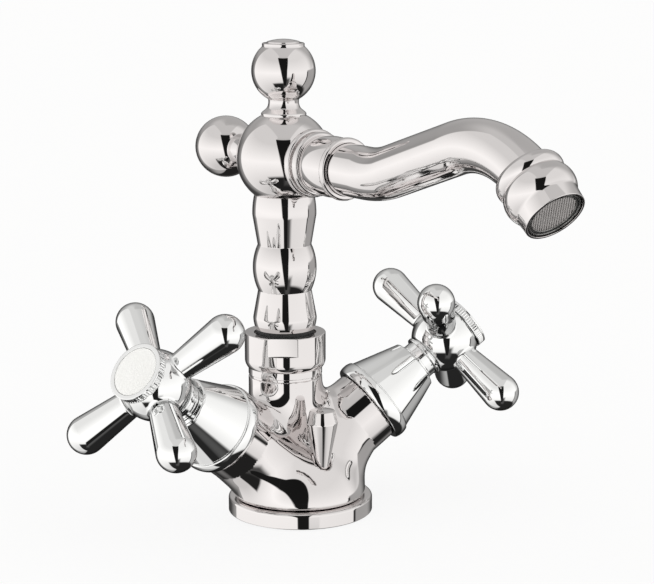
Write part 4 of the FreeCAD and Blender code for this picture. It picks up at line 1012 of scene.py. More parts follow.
    def build(self, bench: Workbench) -> None:
        """Mesh the casting, and turn the top of its neck with the fine groove below the nut.

        Args:
            bench: where the pieces go.
        """
        skin = CastSkin(self.distance, self.box_low, self.box_high, self.cell)
        bench.piece("body_casting", skin.surface(), "base", Slot.CHROME, ["mixer_body"])
        floor = self.neck_radius - self.groove_depth
        low, high = self.neck_top - self.neck_lap, self.neck_top + self.groove_width
        neck = lathe([
            Turn(self.spigot_bore, low), Turn(floor, low), Turn(floor, high),
            Turn(self.neck_radius, high, 0.2), Turn(self.neck_radius, self.neck_end),
            Turn(self.spigot_bore, self.neck_end),
        ], closed=True)
        place = Place.turned((0.0, self.setback, 0.0), (0.0, 0.0, 1.0))
        bench.piece("body_neck_ring", place.set(neck), "base", Slot.CHROME)


@dataclass
class Bell:
    """Bell shroud: a rolled band at the foot, a straight skirt and six narrow wrench flats."""

    valves: Valves
    foot: float = 38.5
    top: float = 61.0
    inner: float = 13.4
    band: float = 15.15
    band_height: float = 5.0
    band_crown: float = 0.55
    skirt: float = 14.55
    neck: float = 9.5
    wall: float = 1.5
    web: float = 2.5
    hole: float = 6.6
    flat_depth: float = 0.45
    flat_length: float = 8.5
    flat_edge: float = 0.06
    flat_margin: float = 1.0
    skin: float = 0.9
    step: float = 0.4
    step_depth: float = 0.25
    top_round: float = 0.9
    skirt_rows: int = 90

    @property
    def shoulder(self) -> float:
        """Return the height of the band's top."""
        return self.foot + self.band_height

    def flats(self, angle: Array, radius: Array, height: Array) -> Array:
        """Return the radius with six planes cut in, each leaning in to its full depth at the top.

        A plane at a distance d from the axis has the radius d / cos a, with a counted from its middle.
        Only the skirt's outside is cut.

        Args:
            angle: angles round the axis.
            radius: radii before the cut.
            height: heights along the axis.

        Returns:
            The radii.
        """
        run = self.top - height
        lean = (self.skirt - self.neck) / (self.top - self.shoulder)
        plane = self.neck - self.flat_depth + run * (lean + self.flat_depth / self.flat_length)
        sector = math.pi / 3
        off = (angle + sector / 2) % sector - sector / 2
        cut = soft_min(radius, plane / np.cos(off), self.flat_edge)
        outer = (radius > self.hole + self.flat_margin) & (height > self.shoulder + self.flat_margin)
        outer &= radius > self.neck + lean * run - self.skin
        return np.where(outer, cut, radius)

    def build(self, bench: Workbench) -> None:
        """Turn both bells, with many rows on the skirt for the flats' ends.

        Args:
            bench: where the pieces go.
        """
        shoulder = self.shoulder
        low, high = shoulder + self.step, self.top - self.top_round
        cone = [Turn(self.skirt + (self.neck - self.skirt) * share, low + (high - low) * share, 0.0)
                for share in np.linspace(0.0, 1.0, self.skirt_rows)[1:-1]]
        corners = [
            Turn(self.inner, self.foot), Turn(self.band, self.foot, 0.5),
            Turn(self.band, shoulder, 0.35, self.band_crown),
            Turn(self.skirt - self.step_depth, shoulder, 0.1), Turn(self.skirt, low, 0.15), *cone,
            Turn(self.neck, high, 0.0), Turn(self.neck - self.top_round, self.top, 0.05, 0.25),
            Turn(self.hole, self.top), Turn(self.hole, self.top - self.web),
            Turn(self.neck - self.wall, self.top - self.web), Turn(self.inner, shoulder),
        ]
        surface = lathe(corners, closed=True, around=360, shape=self.flats)
        for side in Side:
            bench.piece(f"{side.word}_bell", self.valves.place(side).set(surface), "base", Slot.CHROME,
                        [f"{side.word}_bell_shroud"], RIM_SHADED_CHROME)


@dataclass
class Handle:
    """Cross handle: a rounded hub with four club arms, its collar, the knurled ring and the disc."""

    valves: Valves
    cell: float = 0.5
    foot: float = 61.6
    bore: float = 4.4
    collar: float = 6.9
    ring_low: float = 64.8
    ring: float = 7.9
    ring_height: float = 1.2
    groove: float = 0.9
    hub_base: float = 66.5
    plane: float = 75.5
    front: float = 83.0
    hub_radius: float = 11.9
    arm_root: float = 9.5
    arm_root_radius: float = 4.7
    arm_tip: float = 29.4
    arm_tip_radius: float = 6.6
    arm_blend: float = 0.9
    front_edge: float = 0.4
    base_edge: float = 0.3
    socket_edge: float = 0.2
    skin_margin: float = 1.5
    skin_low: float = -10.0
    skin_high: float = 9.0
    collar_lap: float = 0.4
    socket: float = 8.05
    socket_floor: float = 1.4
    index_radius: float = 10.0
    index_height: float = 3.1
    index_inner: float = 8.5
    index_seat: float = 1.5
    spigot: float = 8.0
    spigot_inner: float = 6.6
    spigot_length: float = 2.2
    skirt: float = 7.1
    skirt_drop: float = 0.4
    skirt_height: float = 0.8
    teeth: int = 64
    tooth_depth: float = 0.3
    tooth_points: int = 8
    tooth_band: float = 0.05
    knurl_low: float = 0.3
    knurl_high: float = 2.5
    knurl_ramp: float = 0.2
    knurl_margin: float = 0.1
    knurl_rows: int = 49
    disc_gap: float = 0.05
    disc_edge: float = 0.1
    disc_crown: float = 0.35
    disc_arc: float = 0.315

    def distance(self, points: Array) -> Array:
        """Return the distance to hub and arms, with Z along the spindle and nought at the arms' plane.

        A ball and four tapers are joined by the smooth union, and the hub's two faces and the ring's socket
        are cut by the smooth intersection.

        Args:
            points: places (n, 3).

        Returns:
            Distances (n,).
        """
        solid = np.linalg.norm(points, axis=1) - self.hub_radius
        for way in ((1.0, 0.0, 0.0), (0.0, 1.0, 0.0), (-1.0, 0.0, 0.0), (0.0, -1.0, 0.0)):
            way = np.array(way)
            arm = round_cone(points, way * self.arm_root, way * self.arm_tip, self.arm_root_radius,
                             self.arm_tip_radius)
            solid = soft_min(solid, arm, self.arm_blend)
        solid = soft_max(solid, points[:, 2] - (self.front - self.plane), self.front_edge)
        solid = soft_max(solid, self.hub_base - self.plane - points[:, 2], self.base_edge)
        bore = np.maximum(np.hypot(points[:, 0], points[:, 1]) - self.socket,
                          self.socket_floor - points[:, 2])
        return soft_max(solid, -bore, self.socket_edge)

    def knurl(self, angle: Array, radius: Array, height: Array) -> Array:
        """Return the radius with fine teeth round the middle of the ring's edge.

        A tooth is one period of a triangle wave round the axis, and runs out at both its ends.

        Args:
            angle: angles round the axis.
            radius: radii before the cut.
            height: heights along the axis.

        Returns:
            The radii.
        """
        rise = height - self.front
        above = np.clip((rise - self.knurl_low) / self.knurl_ramp, 0, 1)
        below = np.clip((self.knurl_high - rise) / self.knurl_ramp, 0, 1)
        wave = np.abs((angle * self.teeth / math.pi) % 2 - 1)
        edge = radius > self.index_radius - self.tooth_band
        return radius - np.where(edge, self.tooth_depth * above * below * wave, 0.0)

    def build(self, bench: Workbench) -> None:
        """Build both handles from one set of surfaces.

        Args:
            bench: where the pieces go.
        """
        reach = self.arm_tip + self.arm_tip_radius + self.skin_margin
        cross = CastSkin(self.distance, (-reach, -reach, self.skin_low), (reach, reach, self.skin_high),
                         self.cell).surface()
        waist = self.ring - self.groove
        ring_top = self.ring_low + self.ring_height
        hem = self.foot - self.skirt_drop
        hem_top = hem + self.skirt_height
        top = self.hub_base + self.collar_lap
        collar = lathe([
            Turn(self.bore, hem), Turn(self.skirt, hem, 0.2), Turn(self.skirt, hem_top, 0.3),
            Turn(self.collar, hem_top, 0.2),
            Turn(self.collar, self.ring_low, 0.15), Turn(self.ring, self.ring_low, 0.35),
            Turn(self.ring, ring_top, 0.35), Turn(waist, ring_top, 0.15),
            Turn(waist, top, 0.1), Turn(self.bore, top),
        ], closed=True)
        face = self.front + self.index_height
        seat = face - self.index_seat
        root = self.front - self.spigot_length
        rows = np.linspace(self.knurl_low - self.knurl_margin, self.knurl_high + self.knurl_margin,
                           self.knurl_rows)
        wall = [Turn(self.index_radius, self.front + rise, 0.0) for rise in rows]
        ring = lathe([
            Turn(self.spigot_inner, root), Turn(self.spigot, root), Turn(self.spigot, self.front),
            Turn(self.index_radius, self.front, 0.15), *wall,
            Turn(self.index_radius, face, 0.45), Turn(self.index_inner, face, 0.2),
            Turn(self.index_inner, seat), Turn(self.spigot_inner, seat),
        ], closed=True, around=self.teeth * self.tooth_points, shape=self.knurl)
        rim = self.index_inner - self.disc_gap
        disc = lathe([
            Turn(0.0, seat), Turn(rim, seat, 0.1), Turn(rim, face - self.disc_edge, 0.3),
            Turn(0.0, face + self.disc_crown, 0.0, self.disc_arc),
        ])
        for side in Side:
            spin = side.value * self.valves.handle_phase
            body = f"{side.word}_handle"
            level = self.valves.place(side, 0.0, spin)
            bench.piece(f"{side.word}_cross", self.valves.place(side, self.plane, spin).set(cross), body,
                        Slot.CHROME, [f"{side.word}_cross_handle"], RIM_SHADED_CHROME)
            bench.piece(f"{side.word}_collar", level.set(collar), body, Slot.CHROME, (), RIM_SHADED_CHROME)
            bench.piece(f"{side.word}_knurled_ring", level.set(ring), body, Slot.CHROME,
                        [f"{side.word}_index_ring"], RIM_SHADED_CHROME)
            bench.piece(f"{side.word}_button", level.set(disc), body, Slot.PORCELAIN,
                        [f"{side.word}_index_disc"])


def ball_rise(ball: float, radius: float) -> float:
    """Return how far from a ball's centre its outline has some radius: sqrt(R^2 - r^2)."""
    return math.sqrt(ball ** 2 - radius ** 2)


def ball_arc(ball: float, centre: float, low: float, high: float, steps: int = 60) -> list[Turn]:
    """Return the outline of a ball between two heights: (R cos t, c + R sin t).

    Args:
        ball: the ball's radius R.
        centre: the height c of its centre.
        low: where the arc starts, counted from the centre.
        high: where it ends.
        steps: corners along it.

    Returns:
        The corners, each of them sharp.
    """
    turns = np.linspace(math.asin(low / ball), math.asin(high / ball), steps)
    return [Turn(max(ball * math.cos(turn), 0.0), centre + ball * math.sin(turn), 0.0) for turn in turns]


@dataclass
class Column:
    """Swivel nut, turned column with a black ring that paints the shadow gap under its foot, ball and the
    two turned knobs.
    """

    setback: float = 9.0
    nut_radius: float = 14.05
    nut_low: float = 49.5
    nut_top: float = 61.7
    nut_lip: float = 58.3
    nut_bore: float = 12.9
    nut_lip_bore: float = 10.7
    nut_flat_depth: float = 1.0
    nut_flat_height: float = 6.3
    nut_flat_phase: float = 53.0
    nut_flat_ledge: tuple[float, ...] = (-0.15, -0.03, -0.005, 0.005, 0.03, 0.15)
    nut_taper: float = 1.0
    nut_taper_height: float = 3.0
    foot: float = 62.8
    foot_radius: float = 10.15
    stem: float = 9.6
    # The black ring below paints shadow: it fills the gap between the nut and the column's foot, where
    # there is only shade
    wiper_radius: float = 10.0
    wiper_low: float = 60.6
    wiper_gap: float = 0.02
    bead: float = 11.0
    waist: float = 9.25
    bead_low: float = 67.0
    waist_low: float = 76.5
    waist_high: float = 92.4
    bead_high: float = 102.8
    top: float = 109.7
    top_radius: float = 10.3
    bore: float = 5.0
    spigot: float = 8.22
    spigot_low: float = 39.4
    groove_low: float = 55.9
    groove_radius: float = 7.12
    ball_radius: float = 16.3
    ball_height: float = 122.333
    ball_rows: int = 120
    flange: float = 7.7
    flange_height: float = 2.4
    flange_lap: float = 0.6
    flange_lean: float = 0.3
    flange_edge: float = 0.9
    knob_neck: float = 5.3
    neck_flare: float = 0.6
    neck_hollow: float = 0.35
    knob_ball: float = 10.9
    finial_neck: float = 3.2
    rear_neck: float = 11.0
    ring: float = 7.2
    ring_height: float = 1.2
    cap: float = 5.6
    cap_edge: float = 0.4
    cap_height: float = 1.3

    @property
    def axis(self) -> Place:
        """Return the column's place."""
        return Place.turned((0.0, self.setback, 0.0), (0.0, 0.0, 1.0))

    @property
    def ball_centre(self) -> tuple[float, float, float]:
        """Return the centre of the ball."""
        return (0.0, self.setback, self.ball_height)

    def knob(self, neck_height: float) -> tuple[list[Turn], float]:
        """Return the outline of a knob's flange and neck, and the height of its ball's centre.

        Args:
            neck_height: height of the neck between flange and ball.

        Returns:
            The corners from the axis up to the ball, and the height over the big ball's centre.
        """
        seat = ball_rise(self.ball_radius, self.flange)
        flange = seat + self.flange_height
        neck = flange + neck_height
        low = seat - self.flange_lap
        corners = [
            Turn(0.0, low), Turn(self.flange - self.flange_lean, low, 0.1),
            Turn(self.flange, seat + self.flange_edge, 0.35, 0.12),
            Turn(self.knob_neck + self.neck_flare, flange, 0.3),
            Turn(self.knob_neck, neck, 0.25, -self.neck_hollow),
        ]
        return corners, neck + ball_rise(self.knob_ball, self.knob_neck)

    def nut_flats(self, angle: Array, radius: Array, height: Array) -> Array:
        """Return the radius with a chord cut off each of two opposite sides, above the flats' step.

        A plane at a distance d from the axis has the radius d / cos a, with a counted from its middle.
        From 60 degrees on it lies well outside the nut, and its radius is held there.

        Args:
            angle: angles round the axis.
            radius: radii before the cut.
            height: heights along the axis.

        Returns:
            The radii.
        """
        plane = self.nut_radius - self.nut_flat_depth
        facing = np.abs(np.cos(angle - math.radians(self.nut_flat_phase)))
        cut = np.minimum(radius, plane / np.maximum(facing, 0.5))
        return np.where(height > self.nut_top - self.nut_flat_height, cut, radius)

    def build(self, bench: Workbench) -> None:
        """Turn the nut, the column, the ball and the knobs.

        Args:
            bench: where the pieces go.
        """
        step = self.nut_top - self.nut_flat_height
        ledge = [Turn(self.nut_radius, step + rise, 0.0) for rise in self.nut_flat_ledge]
        nut = lathe([
            Turn(self.nut_bore, self.nut_low), Turn(self.nut_radius - self.nut_taper, self.nut_low, 0.25),
            Turn(self.nut_radius, self.nut_low + self.nut_taper_height, 0.5, 0.3), *ledge,
            Turn(self.nut_radius, self.nut_top, 0.4),
            Turn(self.nut_lip_bore, self.nut_top, 0.3), Turn(self.nut_lip_bore, self.nut_lip),
            Turn(self.nut_bore, self.nut_lip),
        ], closed=True, around=720, shape=self.nut_flats)
        bench.piece("union_nut", self.axis.set(nut), "base", Slot.CHROME, ["swivel_nut"])
        column = lathe([
            Turn(self.bore, self.spigot_low), Turn(self.spigot, self.spigot_low, 0.4),
            Turn(self.spigot, self.groove_low), Turn(self.groove_radius, self.groove_low),
            Turn(self.groove_radius, self.nut_lip),
            Turn(self.stem, self.nut_lip), Turn(self.stem, self.foot, 0.1),
            Turn(self.foot_radius, self.foot, 0.15),
            Turn(self.bead, self.bead_low, 0.5, 0.2), Turn(self.waist, self.waist_low, 0.1),
            Turn(self.waist, self.waist_high, 0.1, self.bead - self.waist),
            Turn(self.bead, self.bead_high, 0.5), Turn(self.top_radius, self.top, 0.15, 0.2),
            Turn(self.bore, self.top),
        ], closed=True, around=176)
        bench.piece("turned_column", self.axis.set(column), "spout", Slot.CHROME, ["column"])
        # Painted shadow: a black ring in the gap between the nut's top and the column's foot
        bore, top = self.stem + self.wiper_gap, self.foot - self.wiper_gap
        shadow_ring = lathe([
            Turn(bore, self.wiper_low), Turn(self.wiper_radius, self.wiper_low, 0.1),
            Turn(self.wiper_radius, top, 0.1), Turn(bore, top),
        ], closed=True)
        bench.piece("column_wiper", self.axis.set(shadow_ring), "spout", Slot.RUBBER)

        low = -ball_rise(self.ball_radius, self.top_radius)
        high = ball_rise(self.ball_radius, self.flange)
        globe = ball_arc(self.ball_radius, 0.0, low, high, self.ball_rows)
        ball = lathe([
            Turn(0.0, low), Turn(self.top_radius, low, 0.15), *globe[1:-1],
            Turn(self.flange, high, 0.1), Turn(0.0, high),
        ], around=200)
        upright = Place.turned(self.ball_centre, (0.0, 0.0, 1.0))
        bench.piece("junction_ball", upright.set(ball), "spout", Slot.CHROME, ["spout_ball"])

        lower, centre = self.knob(self.finial_neck)
        low = -ball_rise(self.knob_ball, self.knob_neck)
        shelf = ball_rise(self.knob_ball, self.ring)
        step = centre + shelf + self.ring_height
        finial = lathe([
            *lower, *ball_arc(self.knob_ball, centre, low, shelf)[1:],
            Turn(self.ring, step, 0.45), Turn(self.cap, step, 0.15),
            Turn(self.cap, step + self.cap_edge, 0.25), Turn(0.0, step + self.cap_height, 0.0, 0.2),
        ], around=176)
        bench.piece("finial_knob", upright.set(finial), "spout", Slot.CHROME, ["finial"])

        lower, centre = self.knob(self.rear_neck)
        knob = lathe([*lower, *ball_arc(self.knob_ball, centre, low, self.knob_ball)[1:]], around=176)
        rearward = Place.turned(self.ball_centre, (0.0, 1.0, 0.0))
        bench.piece("rear_ball_knob", rearward.set(knob), "spout", Slot.CHROME, ["rear_knob"])


@dataclass
class Spout:
    """Stepped collar, swan tube, ringed nozzle and the aerator in its mouth."""

    column: Column
    fit: float = 0.05
    seat: float = 13.72
    seat_lap: float = 1.5
    boss: float = 8.8
    boss_length: float = 3.1
    ring: float = 11.6
    ring_width: float = 2.4
    step: float = 10.8
    step_width: float = 2.6
    gap: float = 0.7
    gap_rise: float = 0.2
    barrel: float = 9.55
    barrel_bulge: float = 0.55
    barrel_length: float = 11.9
    bead: float = 10.4
    bead_width: float = 2.3
    bore: float = 5.6
    tube_root: float = 8.7
    tube_end: float = 8.1
    tube_wall: float = 1.2
    tube_start: float = 30.4
    level: float = 48.1
    rise: float = 18.4
    rise_radius: float = 45.0
    rise_length: float = 33.0
    crest_radius: float = 38.0
    drop: float = 40.6
    path_points: int = 420
    tube_lap: float = 1.0
    back_fit: float = 0.15
    back: float = -6.0
    back_radius: float = 9.3
    first_ring: float = 10.7
    first_width: float = 4.9
    waist: float = 10.0
    second_ring: float = 11.2
    second_width: float = 8.0
    throat: float = 9.9
    front: float = 11.6
    mouth: float = 9.6
    rim: float = 0.7
    mouth_recess: float = 0.4
    housing_depth: float = 6.5
    housing_wall: float = 1.2
    washer_room: float = 1.4
    screen_recess: float = 0.7
    screen_room: float = 4.0
    step_width_inner: float = 0.42
    step_depth: float = 0.9
    seal_height: float = 0.35
    plate_height: float = 1.0
    plate_lap: float = 0.1
    slats: int = 18
    slat: float = 0.27
    slat_turn: float = 24.4
    slat_drop: float = 1.1

    def centre_line(self) -> tuple[Array, Array, Array]:
        """Return the tube's centre line, its end and the direction in which the nozzle points.

        It is level, bends up by the rise in an arc, climbs straight and goes over the crest in an arc to
        the drop: each part is walked at an even step, and the direction's angle is summed.

        Returns:
            Points (n, 3), the last point and the nozzle's unit direction.
        """
        rise, drop = math.radians(self.rise), math.radians(self.drop)
        lengths = np.array([self.level - self.tube_start, self.rise_radius * rise, self.rise_length,
                            self.crest_radius * (rise + drop)])
        bends = np.array([0.0, 1 / self.rise_radius, 0.0, -1 / self.crest_radius])
        edges = np.concatenate([[0.0], np.cumsum(lengths)])
        along = np.linspace(0.0, edges[-1], self.path_points)
        angles = np.interp(along, edges, np.concatenate([[0.0], np.cumsum(lengths * bends)]))
        step = np.diff(along)
        middle = (angles[1:] + angles[:-1]) / 2
        reach = self.tube_start + np.concatenate([[0.0], np.cumsum(step * np.cos(middle))])
        height = np.concatenate([[0.0], np.cumsum(step * np.sin(middle))])
        centre = np.array(self.column.ball_centre)
        path = centre + np.stack([np.zeros_like(reach), -reach, height], 1)
        return path, path[-1], np.array((0.0, -math.cos(drop), -math.sin(drop)))

    def build(self, bench: Workbench) -> None:
        """Build the spout from the ball outwards.

        Args:
            bench: where the pieces go.
        """
        forward = Place.turned(self.column.ball_centre, (0.0, -1.0, 0.0))
        ring = self.seat + self.boss_length
        ring_end = ring + self.ring_width
        step = ring_end + self.gap
        step_end = step + self.step_width
        barrel = step_end + self.gap
        barrel_end = barrel + self.barrel_length
        end = barrel_end + self.bead_width
        root = self.seat - self.seat_lap
        floor = self.barrel + self.gap_rise
        socket = self.tube_root + self.fit
        collar = lathe([
            Turn(self.bore, root), Turn(self.boss, root),
            Turn(self.boss, ring, 0.2), Turn(self.ring - self.gap, ring, 0.15),
            Turn(self.ring - self.gap, ring_end, 0.2, self.gap), Turn(floor, ring_end, 0.15),
            Turn(floor, step, 0.15), Turn(self.step - self.gap, step, 0.15),
            Turn(self.step - self.gap, step_end, 0.2, self.gap), Turn(self.barrel, step_end, 0.15),
            Turn(self.barrel, barrel, 0.15), Turn(self.barrel, barrel_end, 0.15, self.barrel_bulge),
            Turn(self.bead - self.gap, barrel_end, 0.1),
            Turn(self.bead - self.gap, end, 0.2, self.gap), Turn(socket, end, 0.15),
            Turn(socket, self.tube_start), Turn(self.bore, self.tube_start),
        ], closed=True, around=320)
        bench.piece("stepped_collar", forward.set(collar), "spout", Slot.CHROME, ["spout_collar"])

        path, tip, way = self.centre_line()
        radii = np.linspace(self.tube_root, self.tube_end, len(path))
        bench.piece("swan_tube", pipe(path, radii, self.tube_wall), "spout", Slot.CHROME, ["spout_tube"])

        nozzle_place = Place.turned(tip, way)
        first_end = self.back + self.first_width
        second_end = first_end + self.second_width
        inner = self.mouth - self.rim
        throat = self.tube_end - self.tube_wall
        chamber = self.front - self.mouth_recess - self.housing_depth - self.washer_room
        nozzle = lathe([
            Turn(throat, self.tube_lap), Turn(self.tube_end + self.fit, self.tube_lap),
            Turn(self.tube_end + self.back_fit, self.back), Turn(self.back_radius, self.back, 0.3),
            Turn(self.waist, first_end, 0.12, self.first_ring - (self.back_radius + self.waist) / 2),
            Turn(self.throat, second_end, 0.5, self.second_ring - (self.waist + self.throat) / 2),
            Turn(self.mouth, self.front, 0.25, -0.05), Turn(inner, self.front, 0.2),
            Turn(inner, chamber), Turn(throat, chamber),
        ], closed=True, around=320)
        bench.piece("ringed_nozzle", nozzle_place.set(nozzle), "spout", Slot.CHROME, ["nozzle"])
        self.build_aerator(bench, nozzle_place, inner - self.fit)

    def bars(self, reach: float, level: float) -> Surface:
        """Return the parallel round bars that fill a circle.

        Bar i lies at x_i across the circle and runs over the chord there, t sqrt(R^2 - x_i^2) with t from
        -1 to 1, and a little into the wall.  Round it, a point is w cos a across and w sin a along the
        nozzle, at twelve angles, and five quads close each end.

        Args:
            reach: the circle's radius R.
            level: the height of the bars' axes along the nozzle.

        Returns:
            The surface, with each bar closed at both ends.
        """
        turn = np.linspace(0.0, 2 * math.pi, 12, endpoint=False)
        row = ((np.arange(self.slats) + 0.5) / self.slats * 2 - 1) * reach
        half = np.sqrt(reach ** 2 - row ** 2) + self.slat
        run = np.stack([-half, half], 1)[:, :, None] + np.zeros(len(turn))
        side = np.cos(turn) + np.zeros(run.shape)
        rise = np.sin(turn) + np.zeros(run.shape)
        points = np.stack([row[:, None, None] + self.slat * side, run, level + self.slat * rise], -1)
        normals = np.stack([side, np.zeros(run.shape), rise], -1)
        size = len(turn)
        cap = np.array([(0, 1, 2, 3), (0, 3, 4, 11), (11, 4, 5, 10), (10, 5, 6, 9), (9, 6, 7, 8)])
        faces = np.concatenate([grid_faces(2, size, False), cap[:, ::-1], cap + size])[:, ::-1]
        quads = (faces[None] + 2 * size * np.arange(self.slats)[:, None, None]).reshape(-1, 4)
        return Surface(points.reshape(-1, 3), normals.reshape(-1, 3), quads)

    def build_aerator(self, bench: Workbench, place: Place, outside: float) -> None:
        """Turn the aerator's ringed sleeve, black rubber rings that paint shade into its grooves, and the
        slatted screen.

        Args:
            bench: where the pieces go.
            place: the nozzle's place.
            outside: the sleeve's outer radius.
        """
        mouth = self.front - self.mouth_recess
        floor = mouth - self.housing_depth
        lip = self.step_width_inner
        low = mouth - self.step_depth
        screen = mouth - self.screen_recess
        inside = outside - 4 * lip
        well = screen - self.screen_room
        sleeve = lathe([
            Turn(inside - self.housing_wall, floor), Turn(outside, floor), Turn(outside, low, 0.1),
            Turn(outside - lip, low, 0.05), Turn(outside - lip, mouth, 0.12),
            Turn(outside - 2 * lip, mouth, 0.12), Turn(outside - 2 * lip, low, 0.05),
            Turn(outside - 3 * lip, low, 0.05), Turn(outside - 3 * lip, mouth - lip, 0.12),
            Turn(inside, mouth - lip, 0.12), Turn(inside, well), Turn(inside - self.housing_wall, well),
        ], closed=True, around=288)
        bench.piece("aerator_sleeve", place.set(sleeve), "spout", Slot.STEEL, ["aerator_housing"])
        # Painted shade, partly real: black rubber rings at the bottom of the sleeve's grooves make the
        # grooves read dark; aerators carry such washers too
        shade_seal_top = low + self.seal_height
        shade_seals = [
            lathe([
                Turn(outer - lip, low, 0.05), Turn(outer, low, 0.05), Turn(outer, shade_seal_top, 0.1),
                Turn(outer - lip, shade_seal_top, 0.1),
            ], closed=True, around=192)
            for outer in (outside, outside - 2 * lip)
        ]
        bench.piece("aerator_seals", place.set(shade_seals[0].joined(shade_seals[1])), "spout", Slot.RUBBER)
        level = screen - self.slat
        shelf = level - self.slat_drop
        under = shelf - self.plate_height
        rim = inside + self.plate_lap
        plate = lathe([Turn(0.0, under), Turn(rim, under), Turn(rim, shelf, 0.05), Turn(0.0, shelf)],
                      around=96)
        grille = plate.joined(self.bars(inside, level))
        turned = Place.turned(place.origin, place.along, self.slat_turn)
        bench.piece("aerator_grille", turned.set(grille), "spout", Slot.STEEL, ["aerator_screen"],
                    GREY_SCREEN)


@dataclass
class PopUp:
    """Knob of the pop-up waste."""

    forward: float = 13.54
    foot: float = 17.0
    foot_radius: float = 1.95
    wide: float = 34.0
    wide_radius: float = 5.5
    bevel: float = 38.2
    top_radius: float = 4.2
    crown: float = 0.4
    bore: float = 1.65
    grip: float = 27.8

    def build(self, bench: Workbench) -> None:
        """Turn the knob: a long taper, a short bevel and a slightly domed top.

        Args:
            bench: where the piece goes.
        """
        knob = lathe([
            Turn(0.0, self.grip), Turn(self.bore, self.grip), Turn(self.bore, self.foot),
            Turn(self.foot_radius, self.foot, 0.3), Turn(self.wide_radius, self.wide, 0.3),
            Turn(self.top_radius, self.bevel, 0.25), Turn(0.0, self.bevel + self.crown, 0.0, 0.12),
        ], around=128)
        place = Place.turned((0.0, -self.forward, 0.0), (0.0, 0.0, 1.0))
        bench.piece("popup_grip", place.set(knob), "popup", Slot.CHROME, ["popup_knob"])


@dataclass(frozen=True)
class Panel:
    """One part of the studio as seen from the tap: a range of azimuth and elevation with its light.

    Azimuth is nought towards the front and grows towards the cold side, in degrees.  The range of azimuth
    holds at the panel's top, and foot is the range at the bottom where that differs.  The light is given
    low down, at its peak and high up.  A flat panel's top edge sinks towards its ends, to the slope
    tan h cos(a - a_mid), and edge is the width over which the panel's border fades.
    """

    name: str
    azimuth: tuple[float, float]
    elevation: tuple[float, float]
    light: tuple[float, float, float]
    edge: float = 2.0
    foot: tuple[float, float] | None = None
    flat: bool = False
    steepest: float = 89.0

    def inputs(self) -> dict[str, float]:
        """Return the values that the panel's node group takes.

        Returns:
            The values by the group's input names.
        """
        foot = self.foot or self.azimuth
        low, high = np.clip(self.elevation, -self.steepest, self.steepest).tolist()
        return {
            "Low middle": sum(foot) / 2, "Low half": (foot[1] - foot[0]) / 2,
            "High middle": sum(self.azimuth) / 2, "High half": (self.azimuth[1] - self.azimuth[0]) / 2,
            "Low slope": math.tan(math.radians(low)), "High slope": math.tan(math.radians(high)),
            "Low": self.elevation[0], "Flat": float(self.flat), "Edge": self.edge,
            "Low light": self.light[0], "Peak light": self.light[1], "High light": self.light[2],
        }


